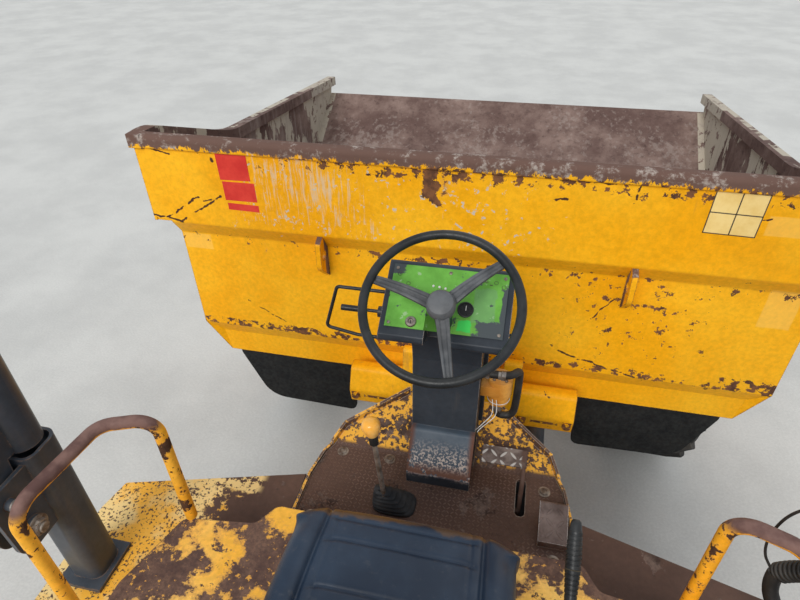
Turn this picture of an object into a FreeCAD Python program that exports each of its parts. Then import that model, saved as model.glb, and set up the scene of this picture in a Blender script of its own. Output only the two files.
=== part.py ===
import FreeCAD, Part
import os
from math import atan, cos, degrees, hypot, pi, sin, tan
from FreeCAD import Vector

# Articulated front-tip site dumper. Millimetres, +Y forward, +X right, ground at Z 0.
# The steering pin stands at X 0, Y 0.

os.makedirs("parts", exist_ok=True)

# Driving dimensions
length = 4720
wheelbase = 2770
front_axle_y = 1410
tyre_r = 585
tyre_w = 470
track = 1970
rim_r = 290
skip_w = 2330
wing_out = 85
skip_over_tyre = 64
floor_over_tyre = 100
plate = 10

half_l = length / 2
wing_w = skip_w + 2 * wing_out
rear_axle_y = front_axle_y - wheelbase
axle_z = tyre_r
wheel_x = track / 2
deck_z = 2 * tyre_r + skip_over_tyre
floor_z = 2 * tyre_r + floor_over_tyre


# Shape helpers

def box(x0, x1, y0, y1, z0, z1):
    return Part.makeBox(x1 - x0, y1 - y0, z1 - z0, Vector(x0, y0, z0))


def rod(p, q, r):
    a, b = Vector(*p), Vector(*q)
    return Part.makeCylinder(r, (b - a).Length, a, b - a)


def above(z, points):
    # the same outline with its second value counted from z
    return [(p[0], z + p[1]) + tuple(p[2:]) for p in points]


def outline(points, place):
    # a flat face; a third value of a point is the radius of its corner
    corners = [Vector(*place(p[0], p[1])) for p in points]
    ends = []
    for i, point in enumerate(points):
        corner = corners[i]
        if len(point) < 3:
            ends.append((corner, None, corner))
            continue
        u = (corners[i - 1] - corner).normalize()
        w = (corners[(i + 1) % len(corners)] - corner).normalize()
        half = u.getAngle(w) / 2
        a, b = corner + u * (point[2] / tan(half)), corner + w * (point[2] / tan(half))
        middle = corner + (u + w).normalize() * (point[2] / sin(half) - point[2])
        ends.append((a, Part.Arc(a, middle, b).toShape(), b))
    edges = []
    for i, (a, arc, b) in enumerate(ends):
        if arc:
            edges.append(arc)
        after = ends[(i + 1) % len(ends)][0]
        if (after - b).Length > 0.001:
            edges.append(Part.makeLine(b, after))
    return Part.Face(Part.Wire(edges))


def sheet_yz(points, x0, x1):
    return outline(points, lambda y, z: (x0, y, z)).extrude(Vector(x1 - x0, 0, 0))


def sheet_xy(points, z0, z1):
    return outline(points, lambda x, y: (x, y, z0)).extrude(Vector(0, 0, z1 - z0))


def sheet_xz(points, y0, y1):
    return outline(points, lambda x, z: (x, y0, z)).extrude(Vector(0, y1 - y0, 0))


def turned(points, y, z):
    # X and radius, turned about the line along X through y, z
    return outline(points, lambda x, r: (x, y, z + r)).revolve(Vector(0, y, z), Vector(1, 0, 0), 360)


def turned_up(points, x, y):
    # radius and Z, turned about the upright line through x, y
    return outline(points, lambda r, z: (x + r, y, z)).revolve(Vector(x, y, 0), Vector(0, 0, 1), 360)


def hollow_up(points, z0, z1, wall, lid):
    # an upright casing with walls all round and a lid, or none where lid is 0
    face = outline(points, lambda x, y: (x, y, z0))
    inner = face.makeOffset2D(-wall)
    return face.extrude(Vector(0, 0, z1 - z0)).cut(inner.extrude(Vector(0, 0, z1 - z0 - lid)))


def fuse(shapes):
    return shapes[0].multiFuse(shapes[1:]).removeSplitter()


def cut(shape, tools):
    return shape.cut(Part.makeCompound(tools))


def mirrored(shape):
    return shape.mirror(Vector(0, 0, 0), Vector(1, 0, 0))


def both(shape):
    return [shape, mirrored(shape)]


def tilted(shape, angle, place):
    shape.rotate(Vector(0, 0, 0), Vector(1, 0, 0), angle)
    shape.translate(Vector(*place))
    return shape


def bent(points, r, bend):
    # a round bar through the points, each corner turned on an arc of radius bend
    pts = [Vector(*p) for p in points]
    edges = []
    start = pts[0]
    for before, corner, after in zip(pts, pts[1:], pts[2:]):
        u = (before - corner).normalize()
        w = (after - corner).normalize()
        half = u.getAngle(w) / 2
        reach = bend / tan(half)
        middle = corner + (u + w).normalize() * (bend / sin(half) - bend)
        a, b = corner + u * reach, corner + w * reach
        edges.append(Part.makeLine(start, a))
        edges.append(Part.Arc(a, middle, b).toShape())
        start = b
    edges.append(Part.makeLine(start, pts[-1]))
    ring = Part.Wire(Part.makeCircle(r, pts[0], pts[1] - pts[0]))
    return Part.Wire(edges).makePipeShell([ring], True, True)


# Skip

side = skip_w / 2
skip_back_y = 420
wing_y = 375
wing_half = wing_w / 2 - 12
rim_z = deck_z + 861
crease_z = deck_z + 526
ledge_z = deck_z + 459
band_y, band_z = 450, deck_z - 62
hem_z = deck_z - 174
hem_half = side - 80
belly_z = deck_z - 249
belly_half_w = 640
belly_top_half_w = 690
belly_back_y = 560
corner_y, corner_z = half_l, deck_z + 543
lip_y, lip_z = half_l - 30, deck_z + 443
sweep_y, sweep_z = 900, deck_z + 693
slope = 0.6
pivot_y, pivot_z = front_axle_y + 190, axle_z + 275
tip_ram_x = 330
tip_ram_base = (250, axle_z + 135)
tip_ram_eye = (pivot_y - 450, pivot_z + 60)


def slope_y(z):
    return lip_y - (lip_z - z) / slope


def slope_z(y):
    return lip_z - (lip_y - y) * slope


def top_line(drop):
    # the skip's upper edge seen from the side, from the back rim down the sweep to the front corner
    return [(wing_y - 12, rim_z - drop), (470, rim_z - drop, 180), (sweep_y, sweep_z - drop, 600),
            (corner_y, corner_z - drop)]


def skip_tub(inset):
    # the outside of the plates at inset 0, the space inside them at inset = plate
    w = side - inset
    run = inset * hypot(1, slope) / slope
    back = [(skip_back_y + inset, deck_z + inset), (skip_back_y + inset, ledge_z, 20),
            (wing_y + inset, crease_z, 20)]
    if inset:
        top = [(wing_y + inset, 2 * rim_z), (lip_y + 4 * inset, 2 * rim_z)]
    else:
        top = [(wing_y, rim_z)] + top_line(0)[1:]
    front = [(lip_y + 4 * inset, lip_z + slope * (4 * inset + run)),
             (slope_y(deck_z + inset) - run, deck_z + inset)]
    return sheet_yz(back + top + front, -w, w)


def skip_belly(inset):
    # the narrower trough under the floor, its inside run up through the floor plate
    rings = []
    for z, half, y in ((belly_z + inset, belly_half_w, belly_back_y),
                       (deck_z + 1.1 * inset, belly_top_half_w, belly_back_y - 60)):
        front_y = slope_y(z) - inset * hypot(1, slope) / slope
        y += inset
        half -= inset
        ring = [Vector(*p) for p in ((-half, y, z), (half, y, z), (half, front_y, z), (-half, front_y, z))]
        rings.append(Part.makePolygon(ring + ring[:1]))
    return Part.makeLoft(rings, True, True)


def skip_wing():
    # the wide upper panel, and at each end the web that runs back in to the side
    panel = sheet_xz([(-wing_half, crease_z + plate, 25), (wing_half, crease_z + plate, 25), (wing_half, rim_z),
                      (-wing_half, rim_z)], wing_y, wing_y + plate)
    below_top = sheet_yz([(wing_y, crease_z)] + top_line(0) + [(corner_y, crease_z)], 0, wing_w)
    web = sheet_xy([(wing_half - plate, wing_y), (wing_half, wing_y), (side, sweep_y), (side, sweep_y + 15),
                    (side - plate, sweep_y + 15), (side - plate, sweep_y)], crease_z, rim_z)
    shelf = sheet_xy([(side - plate, wing_y + 5), (wing_half, wing_y + 5), (side, sweep_y),
                      (side - plate, sweep_y)], crease_z, crease_z + plate)
    return [panel] + both(web.common(below_top)) + both(shelf)


def skip_rims():
    back = sheet_yz([(wing_y - 12, rim_z - 38, 8), (wing_y - 12, rim_z + 12, 20), (wing_y + 45, rim_z + 12, 20),
                     (wing_y + 45, rim_z - 38, 8)], -wing_w / 2, wing_w / 2)
    plan = sheet_xy([(wing_half - 40, wing_y - 12), (wing_w / 2, wing_y - 12), (wing_w / 2, wing_y + 45, 60),
                     (side + 14, sweep_y, 300), (side + 14, corner_y), (side - 36, corner_y),
                     (side - 36, sweep_y, 300), (wing_half - 40, wing_y + 45, 60)], lip_z, rim_z + 99)
    strip = sheet_yz(top_line(-12) + top_line(38)[::-1], 0, wing_w)
    lip = sheet_yz([(lip_y + 30, lip_z + 20, 12), (lip_y + 30, lip_z - 25, 12), (lip_y - 30, lip_z - 55),
                    (lip_y - 20, lip_z - 10)], -side, side)
    return [back, lip] + both(plan.common(strip))


def skip_band():
    # the undercut below the back panel, its upright band and the flat facet at each lower corner
    folded = sheet_yz([(skip_back_y, deck_z), (skip_back_y + plate, deck_z), (band_y + plate, band_z),
                       (band_y + plate, hem_z), (band_y, hem_z), (band_y, band_z)], -side, side)
    half = [(side, deck_z), (side - 65, band_z), (hem_half, hem_z)]
    folded = folded.common(sheet_xz(half + [(-x, z) for x, z in half[::-1]], 0, lip_y))
    facet = [Vector(side, skip_back_y, deck_z), Vector(side - 65, band_y, band_z), Vector(hem_half, band_y, hem_z)]
    facet = Part.Face(Part.makePolygon(facet + facet[:1])).extrude(Vector(0, plate, 0))
    return [folded] + both(facet)


def lifting_lug():
    lug = sheet_yz([(wing_y + 5, crease_z - 5), (345, crease_z - 20, 25), (340, ledge_z - 60, 40),
                    (skip_back_y + 2, ledge_z - 135), (skip_back_y + 2, crease_z - 20)], 550, 570)
    return lug.cut(rod((500, 382, ledge_z - 20), (600, 382, ledge_z - 20), 20))


def skip():
    tub = cut(skip_tub(0), [skip_tub(plate), skip_belly(plate)])
    tub = cut(tub, both(box(side - plate - 1, side + 1, wing_y + plate, sweep_y, crease_z + plate, 2 * rim_z)))
    return fuse([tub] + skip_wing() + skip_rims() + skip_band() + both(lifting_lug()))


def skip_underframe():
    ry, rz = tip_ram_eye
    rib = sheet_yz([(belly_back_y + 40, belly_z), (slope_y(belly_z), belly_z),
                    (pivot_y + 120, slope_z(pivot_y + 120)), (pivot_y + 75, pivot_z, 50),
                    (pivot_y, pivot_z - 75, 60), (pivot_y - 75, pivot_z, 50), (pivot_y - 270, belly_z - 40, 90),
                    (belly_back_y + 60, belly_z - 40, 20)], 250, 275)
    rib = rib.fuse(rod((245, pivot_y, pivot_z), (281, pivot_y, pivot_z), 52))
    pieces = both(rib.cut(rod((200, pivot_y, pivot_z), (300, pivot_y, pivot_z), 30.05)))
    for x in (tip_ram_x - 51, tip_ram_x + 36):
        fork = sheet_yz([(ry - 120, belly_z), (ry - 50, rz - 40, 20), (ry + 50, rz - 40, 20), (ry + 90, belly_z)],
                        x, x + 15)
        pieces += both(fork)
    for y in (belly_back_y + 140, ry - 160, ry + 20):
        pieces.append(box(-275, 275, y, y + 20, belly_z - 40, belly_z))
    belly = skip_belly(0).cut(skip_belly(plate))
    return Part.makeCompound([belly, fuse(pieces)])


def mudflaps():
    flap = sheet_xz([(480, hem_z + 45), (1038, hem_z + 45), (1046, hem_z - 20, 60), (935, hem_z - 285, 120),
                     (500, hem_z - 300, 35)], band_y + plate, band_y + plate + 12)
    return Part.makeCompound(both(flap))


# Front chassis

pin_r = 40
yoke = (axle_z + 55, axle_z + 345)
tongue = (axle_z + 105, axle_z + 295)
rail_x = (215, 240)
steer_ram_z = axle_z + 15
steer_base = (-230, -380)
steer_eye = (-200, 60)


def front_frame():
    ay, az = tip_ram_base
    nose_y = pivot_y + 60
    rail = sheet_yz(above(axle_z, [
        (150, 60), (150, 345, 30), (300, 415, 30), (400, 415, 40), (560, 345, 60), (pivot_y - 150, 345, 60),
        (pivot_y - 60, 365, 40), (nose_y, 315, 40), (nose_y, 215, 40), (pivot_y - 120, 105, 60),
        (pivot_y - 200, 95, 40), (200, 95, 30)]), *rail_x)
    cross = box(-rail_x[1], rail_x[1], 150, 175, axle_z - 25, axle_z + 345)
    nose = box(-rail_x[0], rail_x[0], pivot_y - 80, pivot_y - 55, pivot_z - 60, pivot_z + 40)
    boss = rod((0, 0, tongue[0]), (0, 0, tongue[1]), 75)
    arm = box(-75, 75, 0, 150, *tongue)
    head = sheet_yz(above(axle_z, [(310, 395, 25), (395, 395, 15), (400, 575, 28), (335, 578, 28),
                                   (292, 480, 30)]), -465, 465)
    horns = both(sheet_yz(above(axle_z, [(305, 480), (390, 480), (390, 695, 20), (345, 707, 20),
                                         (325, 570, 60)]), 168, 240))
    bolts = [rod((x, 300, axle_z + 455), (x, 284, axle_z + 455), 16) for x in (-440, -260, 260, 440)]
    stubs = rod((rail_x[1], ay, az), (tip_ram_x + 50, ay, az), 25)
    pivot = rod((rail_x[1], pivot_y, pivot_z), (290, pivot_y, pivot_z), 30)
    pads = []
    for z in (steer_ram_z - 35, steer_ram_z + 20):
        pads.append(sheet_xy([(-240, 150), (-160, 150), (-160, 35, 15), (-240, 35, 15)], z, z + 15))
    solid = fuse([cross, nose, boss, arm, head] + both(rail) + both(stubs) + both(pivot) + horns + bolts + pads)
    return solid.cut(rod((0, 0, 0), (0, 0, 2 * axle_z), pin_r + 0.05))


def axle(y, pad_top):
    # half profile of the beam and its hubs, with the ribbed drum at the differential
    half = [(995, 0), (995, 140), (960, 155), (720, 155), (700, 120), (655, 78), (210, 88), (180, 140), (120, 188)]
    beam = turned(half + [(-x, r) for x, r in half[:0:-1]] + [(-995, 0)], y, axle_z)
    inward = 1 if y < 0 else -1
    nose = rod((0, y + inward * 100, axle_z), (0, y + inward * 240, axle_z), 70)
    spindles = both(rod((990, y, axle_z), (1055, y, axle_z), 60))
    pads = both(box(190, 330, y - 90, y + 90, axle_z, pad_top))
    return fuse([beam, nose] + spindles + pads)


def tip_ram(x):
    by, bz = tip_ram_base
    ey, ez = tip_ram_eye
    run = hypot(ey - by, ez - bz)
    wall = run * 0.72
    barrel = fuse([rod((x - 30, 0, 0), (x + 30, 0, 0), 50), rod((x, 35, 0), (x, wall, 0), 55),
                   rod((x, wall - 40, 0), (x, wall, 0), 61)])
    barrel = cut(barrel, [rod((x - 40, 0, 0), (x + 40, 0, 0), 25.05), rod((x, 60, 0), (x, wall + 1, 0), 30.05)])
    inner = fuse([rod((x, 70, 0), (x, run - 30, 0), 30), rod((x - 20, run, 0), (x + 20, run, 0), 38)])
    angle = degrees(atan((ez - bz) / (ey - by)))
    return [tilted(solid, angle, (0, by, bz)) for solid in (barrel, inner)]


# Wheels

lugs_per_side = 9
tread_sides = 36
lug_h = 34
lug_w = 58
lug_angle = 38


def faceted(points, sides):
    # X and radius, carried round the X axis in flat facets
    shell = []
    for i in range(sides):
        turns = [2 * pi * (i + k) / sides for k in (0, 1)]
        for (x0, r0), (x1, r1) in zip(points, points[1:] + points[:1]):
            quad = [Vector(x, r * sin(t), r * cos(t)) for x, r, t in
                    ((x0, r0, turns[0]), (x1, r1, turns[0]), (x1, r1, turns[1]), (x0, r0, turns[1]))]
            shell.append(Part.Face(Part.makePolygon(quad + quad[:1])))
    return Part.Solid(Part.Shell(shell))


def tyre():
    w = tyre_w / 2
    tread = tyre_r - lug_h
    bead = (rim_r + 0.02) / cos(pi / tread_sides)
    carcass = faceted([(-w + 45, bead), (-w, tread - 115), (-w + 40, tread), (w - 40, tread), (w, tread - 115),
                       (w - 45, bead)], tread_sides)
    envelope = faceted([(-w + 8, tread - 70), (-w + 30, tyre_r), (w - 30, tyre_r), (w - 8, tread - 70)], tread_sides)
    bars = []
    for i in range(lugs_per_side):
        for hand, phase in ((1, 0), (-1, 0.5)):
            bar = box(-18, w + 60, -lug_w / 2, lug_w / 2, tread - 60, tyre_r + 10)
            bar.rotate(Vector(0, 0, 0), Vector(0, 0, 1), lug_angle)
            if hand < 0:
                bar = mirrored(bar)
            bar.rotate(Vector(0, 0, 0), Vector(1, 0, 0), (i + phase) * 360 / lugs_per_side)
            bars.append(bar.common(envelope))
    return fuse([carcass] + bars)


def rim():
    w = tyre_w / 2 - 45
    disc = [(60, rim_r - 40), (60, rim_r - 75), (35, 170), (35, 115), (115, 105), (125, 90), (125, 0), (15, 0),
            (15, 170), (40, rim_r - 75), (40, rim_r - 40)]
    solid = turned([(-w, rim_r - 14), (-w, rim_r), (w, rim_r), (w, rim_r - 14)] + disc, 0, 0)
    solid = solid.cut(rod((0, 0, 0), (75, 0, 0), 60.05))
    nuts = []
    for i in range(10):
        nut = rod((30, 0, 145), (58, 0, 145), 14)
        nut.rotate(Vector(0, 0, 0), Vector(1, 0, 0), i * 36)
        nuts.append(nut)
    return fuse([solid] + nuts)


# Centre joint

trunnion_z = axle_z + 200


def centre_block():
    yokes = []
    for z in (yoke[0], yoke[1] - 25):
        yokes.append(sheet_xy([(-110, -185), (110, -185), (110, 0, 60), (60, 80, 50), (-60, 80, 50),
                               (-110, 0, 60)], z, z + 25))
    web = box(-110, 110, -185, -155, *yoke)
    pin = rod((0, 0, yoke[0] - 20), (0, 0, yoke[1] + 20), pin_r)
    cap = rod((0, 0, yoke[1]), (0, 0, yoke[1] + 12), pin_r + 25)
    shaft = rod((0, -185, trunnion_z), (0, -470, trunnion_z), 60)
    sx, sy = steer_base
    arm = [box(-150, -110, sy - 45, -155, steer_ram_z - 35, steer_ram_z + 65)]
    for z in (steer_ram_z - 35, steer_ram_z + 20):
        arm.append(sheet_xy([(-110, sy - 45), (sx - 40, sy - 45, 30), (sx - 40, sy + 21, 30), (-110, sy + 21)],
                            z, z + 15))
    post = rod((sx, sy, steer_ram_z - 35), (sx, sy, steer_ram_z + 35), 20)
    return fuse(yokes + [web, pin, cap, shaft, post] + arm)


def steer_ram():
    bx, by = steer_base
    ex, ey = steer_eye
    run = hypot(ex - bx, ey - by)
    turn = degrees(atan((ex - bx) / (ey - by)))
    barrel = fuse([rod((0, 0, -17), (0, 0, 17), 34), rod((0, 25, 0), (0, 270, 0), 28)])
    barrel = cut(barrel, [rod((0, 0, -40), (0, 0, 40), 20.05), rod((0, 36, 0), (0, 271, 0), 16.05)])
    inner = fuse([rod((0, 153, 0), (0, run - 25, 0), 16), rod((0, run, -15), (0, run, 15), 30)])
    for solid in (barrel, inner):
        solid.rotate(Vector(0, 0, 0), Vector(0, 0, 1), -turn)
        solid.translate(Vector(bx, by, steer_ram_z))
    return barrel, inner


# Rear chassis

tail_y = -half_l + 185
bulkhead_y = -450
bonnet_front_y = -1300
shelf_z = axle_z + 275
bonnet_z = axle_z + 515
bonnet_hinge = (-half_l + 90, bonnet_z + 25)
bonnet_half_w = 440


def rear_frame():
    bulkhead = sheet_xz([(-355, axle_z + 15, 60), (355, axle_z + 15, 60), (355, floor_z - 20), (-355, floor_z - 20)],
                        bulkhead_y, bulkhead_y + 25)
    bulkhead = cut(bulkhead, both(rod((230, bulkhead_y - 9, axle_z + 480), (230, bulkhead_y + 60, axle_z + 480), 55)))
    housing = rod((0, bulkhead_y + 10, trunnion_z), (0, -195, trunnion_z), 95)
    collar = rod((0, -225, trunnion_z), (0, -195, trunnion_z), 110)
    rail = box(330, 355, tail_y, bulkhead_y + 20, axle_z + 115, shelf_z)
    rail = cut(rail, [rod((300, y, axle_z + 195), (400, y, axle_z + 195), 45) for y in (-760, -980, -1780)])
    tail = box(-355, 355, tail_y, tail_y + 25, axle_z - 25, shelf_z)
    shelf = box(-355, 355, tail_y, bulkhead_y, shelf_z - 10, shelf_z)
    beams = both(box(330, 355, bonnet_front_y + 10, bulkhead_y + 20, floor_z - 90, floor_z - plate))
    front_beams = both(box(215, 235, bulkhead_y, -30, floor_z - 65, floor_z - plate))
    posts = both(box(330, 355, bonnet_front_y + 10, bonnet_front_y + 50, shelf_z, floor_z - 70))
    hangers = both(box(355, 420, -640, -560, shelf_z - 60, shelf_z))
    arms = both(box(355, 700, rear_axle_y + 190, rear_axle_y + 230, floor_z - 60, floor_z - plate))
    solid = fuse([bulkhead, housing, collar, tail, shelf] + both(rail) + beams + front_beams + posts + hangers
                 + arms)
    return solid.cut(rod((0, bulkhead_y - 150, trunnion_z), (0, 0, trunnion_z), 60.05))


def counterweight():
    hy, hz = bonnet_hinge
    low, top = axle_z - 65, bonnet_z - 60
    body = sheet_yz([(tail_y, low + 40), (-half_l + 60, low, 30), (-half_l, low + 80), (-half_l, top - 60, 60),
                     (-half_l + 65, top), (tail_y, top)], -620, 620)
    plan = [(-620, -half_l + 45), (-560, -half_l), (560, -half_l), (620, -half_l + 45), (620, tail_y), (-620, tail_y)]
    body = body.common(sheet_xy(plan, low - 10, top + 10))
    jaw = [box(-80, 80, -half_l - 1, -half_l + 120, axle_z + 55, axle_z + 175),
           rod((0, -half_l + 75, low - 20), (0, -half_l + 75, axle_z + 315), 20)]
    lamps = both(box(400, 530, -half_l - 1, -half_l + 14, axle_z + 250, axle_z + 330))
    body = cut(body, jaw + lamps)
    ears = both(box(300, 315, hy - 15, hy + 20, top - 40, hz + 18))
    pins = both(rod((290, hy, hz), (340, hy, hz), 12))
    return fuse([body] + ears + pins)


def rear_lamps():
    lamp = sheet_xz(above(axle_z, [(402, 252, 12), (528, 252, 12), (528, 328, 12), (402, 328, 12)]),
                    -half_l, -half_l + 14)
    return Part.makeCompound(both(lamp))


def floor_plate():
    half = [(100, 60), (150, 60), (350, -95), (379, -165), (395, -200), (414, -300), (420, -600)]
    plan = half + [(-x, y) for x, y in half[::-1]]
    flat = sheet_xy(plan, floor_z - plate, floor_z)
    flat = flat.cut(sheet_xy([(245, -315, 14), (275, -315, 14), (275, -180, 14), (245, -180, 14)],
                             floor_z - 60, floor_z + 9))
    edge = hollow_up(plan, floor_z - 45, floor_z + 12, 8, 0)
    edge = edge.common(box(-420, 420, -500, 99, floor_z - 45, floor_z + 12))
    toe_plan = sheet_xy([(102, 60), (150, 60), (350, -95), (379, -165), (102, -165)], floor_z, floor_z + 200)
    toe = sheet_yz(above(floor_z, [(-165, 0), (-140, 0), (99, 84), (99, 92)]), 0, 500).common(toe_plan)
    lip_plan = sheet_xy([(150, 60), (350, -95), (379, -165), (371, -168), (343, -100), (148, 50)],
                        floor_z, floor_z + 200)
    lip = sheet_yz(above(floor_z, [(-175, 0), (99, 0), (99, 116), (-175, 20)]), 0, 500).common(lip_plan)
    return fuse([flat, edge] + both(toe) + both(lip))


def platforms():
    tail = rear_axle_y - tyre_r
    plan = sheet_xy([(422, -300), (978, -452, 10), (1000, -547, 15), (1000, tail, 1), (700, tail),
                     (700, bonnet_front_y), (422, bonnet_front_y)], floor_z - plate, floor_z)
    skirt = box(990, 1000, tail, -547, floor_z - 60, floor_z)
    guard = sheet_yz(above(floor_z, [(tail + 60, 0), (tail + 60, -plate), (tail - 20, -plate, 90),
                                     (tail - 55, -230), (tail - 65, -227), (tail - 30, 0, 100)]), 700, 1000)
    return Part.makeCompound(both(fuse([plan, skirt, guard])))


def seat_deck():
    half = [(0, -510), (415, -510, 30), (455, -575, 30), (655, -600, 30), (725, -803, 60), (725, -1290, 30)]
    plan = half[1:] + [(-p[0],) + p[1:] for p in half[:0:-1]]
    return hollow_up(plan, floor_z, floor_z + 130, 6, 6)


def engine():
    back, front = tail_y + 170, bonnet_front_y - 190
    block = sheet_xz(above(shelf_z, [(-130, 0, 15), (130, 0, 15), (185, 140, 20), (170, 430, 20),
                                     (-170, 430, 20), (-185, 140, 20)]), back, front)
    cover = sheet_xz(above(shelf_z, [(-95, 425), (95, 425), (95, 520, 45), (-95, 520, 45)]), back + 40, front - 40)
    bell = rod((0, front, shelf_z + 240), (0, front + 60, shelf_z + 240), 175)
    fan = rod((0, back, shelf_z + 300), (0, back - 45, shelf_z + 300), 45)
    blades = rod((0, back - 45, shelf_z + 300), (0, back - 60, shelf_z + 300), 190)
    shroud = box(-240, 240, back - 130, back - 80, shelf_z, shelf_z + 560)
    core = [box(-200, 200, back - 131, back - 110, shelf_z + 60 + i * 36, shelf_z + 78 + i * 36) for i in range(13)]
    shroud = cut(shroud, core)
    foot = box(-240, 240, back - 130, back + 10, shelf_z, shelf_z + 12)
    cleaner = rod((265, back + 60, shelf_z + 470), (265, front - 60, shelf_z + 470), 75)
    bracket = box(140, 265, back + 180, back + 230, shelf_z + 380, shelf_z + 470)
    manifold = [rod((-150, y, shelf_z + 330), (-215, y, shelf_z + 330), 26) for y in
                (back + 110, back + 230, back + 350)]
    manifold.append(rod((-215, back + 60, shelf_z + 330), (-215, back + 400, shelf_z + 330), 30))
    return fuse([block, cover, bell, fan, blades, shroud, foot, cleaner, bracket] + manifold)


def exhaust():
    x, y, z = -520, bonnet_front_y - 220, shelf_z + 185
    pipe = bent([(-215, tail_y + 570, shelf_z + 330), (-215, y, shelf_z + 330), (-300, y, z), (x, y, z),
                 (x, y, floor_z + 480)], 30, 70)
    silencer = rod((x, y, floor_z + 90), (x, y, floor_z + 400), 62)
    return fuse([pipe, silencer]).cut(rod((x, y, floor_z + 415), (x, y, floor_z + 500), 25))


def bonnet():
    back = -half_l + 30
    top = bonnet_z + 540
    hull = []
    for inset in (0, 6):
        profile = sheet_yz([(bonnet_front_y - inset, bonnet_z), (bonnet_front_y - inset, top - inset, 50),
                            (back + 190, top - 50 - inset, 190), (back + inset, top - 240, 130),
                            (back + inset, bonnet_z)], -600, 600)
        w = bonnet_half_w - inset
        arch = sheet_xz([(-w, bonnet_z), (w, bonnet_z), (w, top - inset, 90 - inset),
                         (-w, top - inset, 90 - inset)], back - 50, bonnet_front_y + 50)
        hull.append(profile.common(arch))
    shell = hull[0].cut(hull[1])
    hy, hz = bonnet_hinge
    ears = both(sheet_yz([(back + 5, hz - 15), (hy + 20, hz - 25, 15), (hy + 20, hz + 25, 15), (back + 5, hz + 60)],
                         321, 331))
    gaps = both(box(290, 318, back - 10, back + 30, bonnet_z - 10, hz + 35))
    for i in range(6):
        gaps.append(sheet_xz([(-250, bonnet_z + 60 + i * 34, 7), (250, bonnet_z + 60 + i * 34, 7),
                              (250, bonnet_z + 75 + i * 34, 7), (-250, bonnet_z + 75 + i * 34, 7)],
                             back - 10, back + 30))
    for i in range(9):
        y = back + 230 + i * 42
        gaps += both(sheet_yz([(y, bonnet_z + 130, 7), (y + 16, bonnet_z + 130, 7), (y + 16, bonnet_z + 330, 7),
                               (y, bonnet_z + 330, 7)], bonnet_half_w - 20, bonnet_half_w + 20))
    return cut(fuse([shell] + ears), gaps).cut(rod((-400, hy, hz), (400, hy, hz), 12.05))


def tanks():
    top = floor_z - 30
    tank = sheet_xz([(420, axle_z + 115, 40), (740, axle_z + 115, 40), (740, top, 40), (420, top, 40)], -730, -470)
    cap = rod((580, -470, top - 95), (580, -440, top - 95), 42)
    return Part.makeCompound(both(fuse([tank, cap])))


def steps():
    pieces = [box(748, 758, -760, -480, axle_z - 65, floor_z - plate)]
    for z in (axle_z - 65, axle_z + 270):
        tread = fuse([box(757, 988, -760, -480, z, z + 6), box(757, 988, -760, -754, z, z + 40),
                      box(757, 988, -486, -480, z, z + 40), box(982, 988, -760, -480, z, z + 40)])
        holes = [rod((x, y, z - 9), (x, y, z + 9), 14) for x in (800, 850, 900, 950)
                 for y in (-720, -670, -620, -570, -520)]
        pieces.append(cut(tread, holes))
    return Part.makeCompound(both(fuse(pieces)))


# Driver's place

wheel_centre = (0, -310, floor_z + 750)
wheel_tilt = 32.6
column_x = 100


def steering_shaft(r):
    return tilted(rod((0, 0, -150), (0, 0, -20.3), r), wheel_tilt, wheel_centre)


def column():
    post = sheet_yz(above(floor_z, [(-160, 0), (-150, 430), (-175, 580, 20), (20, 580, 20), (0, 430), (0, 0)]),
                    -column_x, column_x)
    rails = both(box(column_x, column_x + 14, -40, 0, floor_z + 90, floor_z + 560))
    cover = sheet_yz(above(floor_z, [(-258, 0), (-258, 38, 12), (-175, 158, 15), (-152, 158), (-159, 0)]),
                     -column_x, column_x)
    return fuse([post, cover, steering_shaft(22)] + rails)


def dash():
    body = sheet_yz(above(floor_z, [(-290, 600, 10), (-285, 619, 8), (-115, 738, 15), (-45, 690, 30), (-20, 580),
                                    (-240, 580)]), -165, 165)
    face = sheet_yz(above(floor_z, [(-272, 634), (-128, 735), (-116, 755), (-272, 660)]), -152, 152)
    gauge = rod((0, 0, -30), (0, 0, 6), 20)
    key = rod((0, 0, -30), (0, 0, 6), 13)
    notch = sheet_yz(above(floor_z, [(-300, 570), (-300, 660), (-225, 660), (-225, 570)]), -46, 18)
    body = cut(body, [face, notch, tilted(gauge, 35, (-92, -216, floor_z + 668))])
    body = body.cut(tilted(key, 35, (48, -186, floor_z + 690)))
    return body.cut(steering_shaft(22.3))


def steering_wheel():
    ring = Part.makeTorus(186, 13)
    hub = turned_up([(0, -20), (26, -20), (34, -8), (34, 10), (26, 20), (0, 20)], 0, 0)
    spokes = []
    for turn in (30, 150, 270):
        spoke = sheet_xy([(20, -15), (180, -9), (180, 9), (20, 15)], -13, -3)
        spoke.rotate(Vector(0, 0, 0), Vector(0, 0, 1), turn)
        spokes.append(spoke)
    return tilted(fuse([ring, hub] + spokes), wheel_tilt, wheel_centre)


def handles():
    bar = bent([(640, -588, floor_z + 130), (640, -588, floor_z + 520), (752, -640, floor_z + 528),
                (790, -880, floor_z + 520), (790, -880, floor_z)], 16, 55)
    return Part.makeCompound(both(bar))


def dash_controls():
    # the guard loop with the direction lever inside it, and the small knob on the other side
    z = floor_z + 560
    guard = bent([(-165, -150, z + 93), (-312, -150, z + 93), (-355, -150, z - 52), (-262, -150, z - 70),
                  (-column_x, -150, z - 70)], 5, 12)
    lever = fuse([rod((-column_x, -120, z), (-205, -120, z), 16), rod((-205, -120, z), (-250, -120, z), 5),
                  rod((-245, -120, z), (-315, -120, z), 9)])
    knob = fuse([rod((165, -190, z + 30), (178, -190, z + 30), 4), Part.makeSphere(11, Vector(180, -190, z + 27))])
    return Part.makeCompound([guard, lever, knob])


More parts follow.
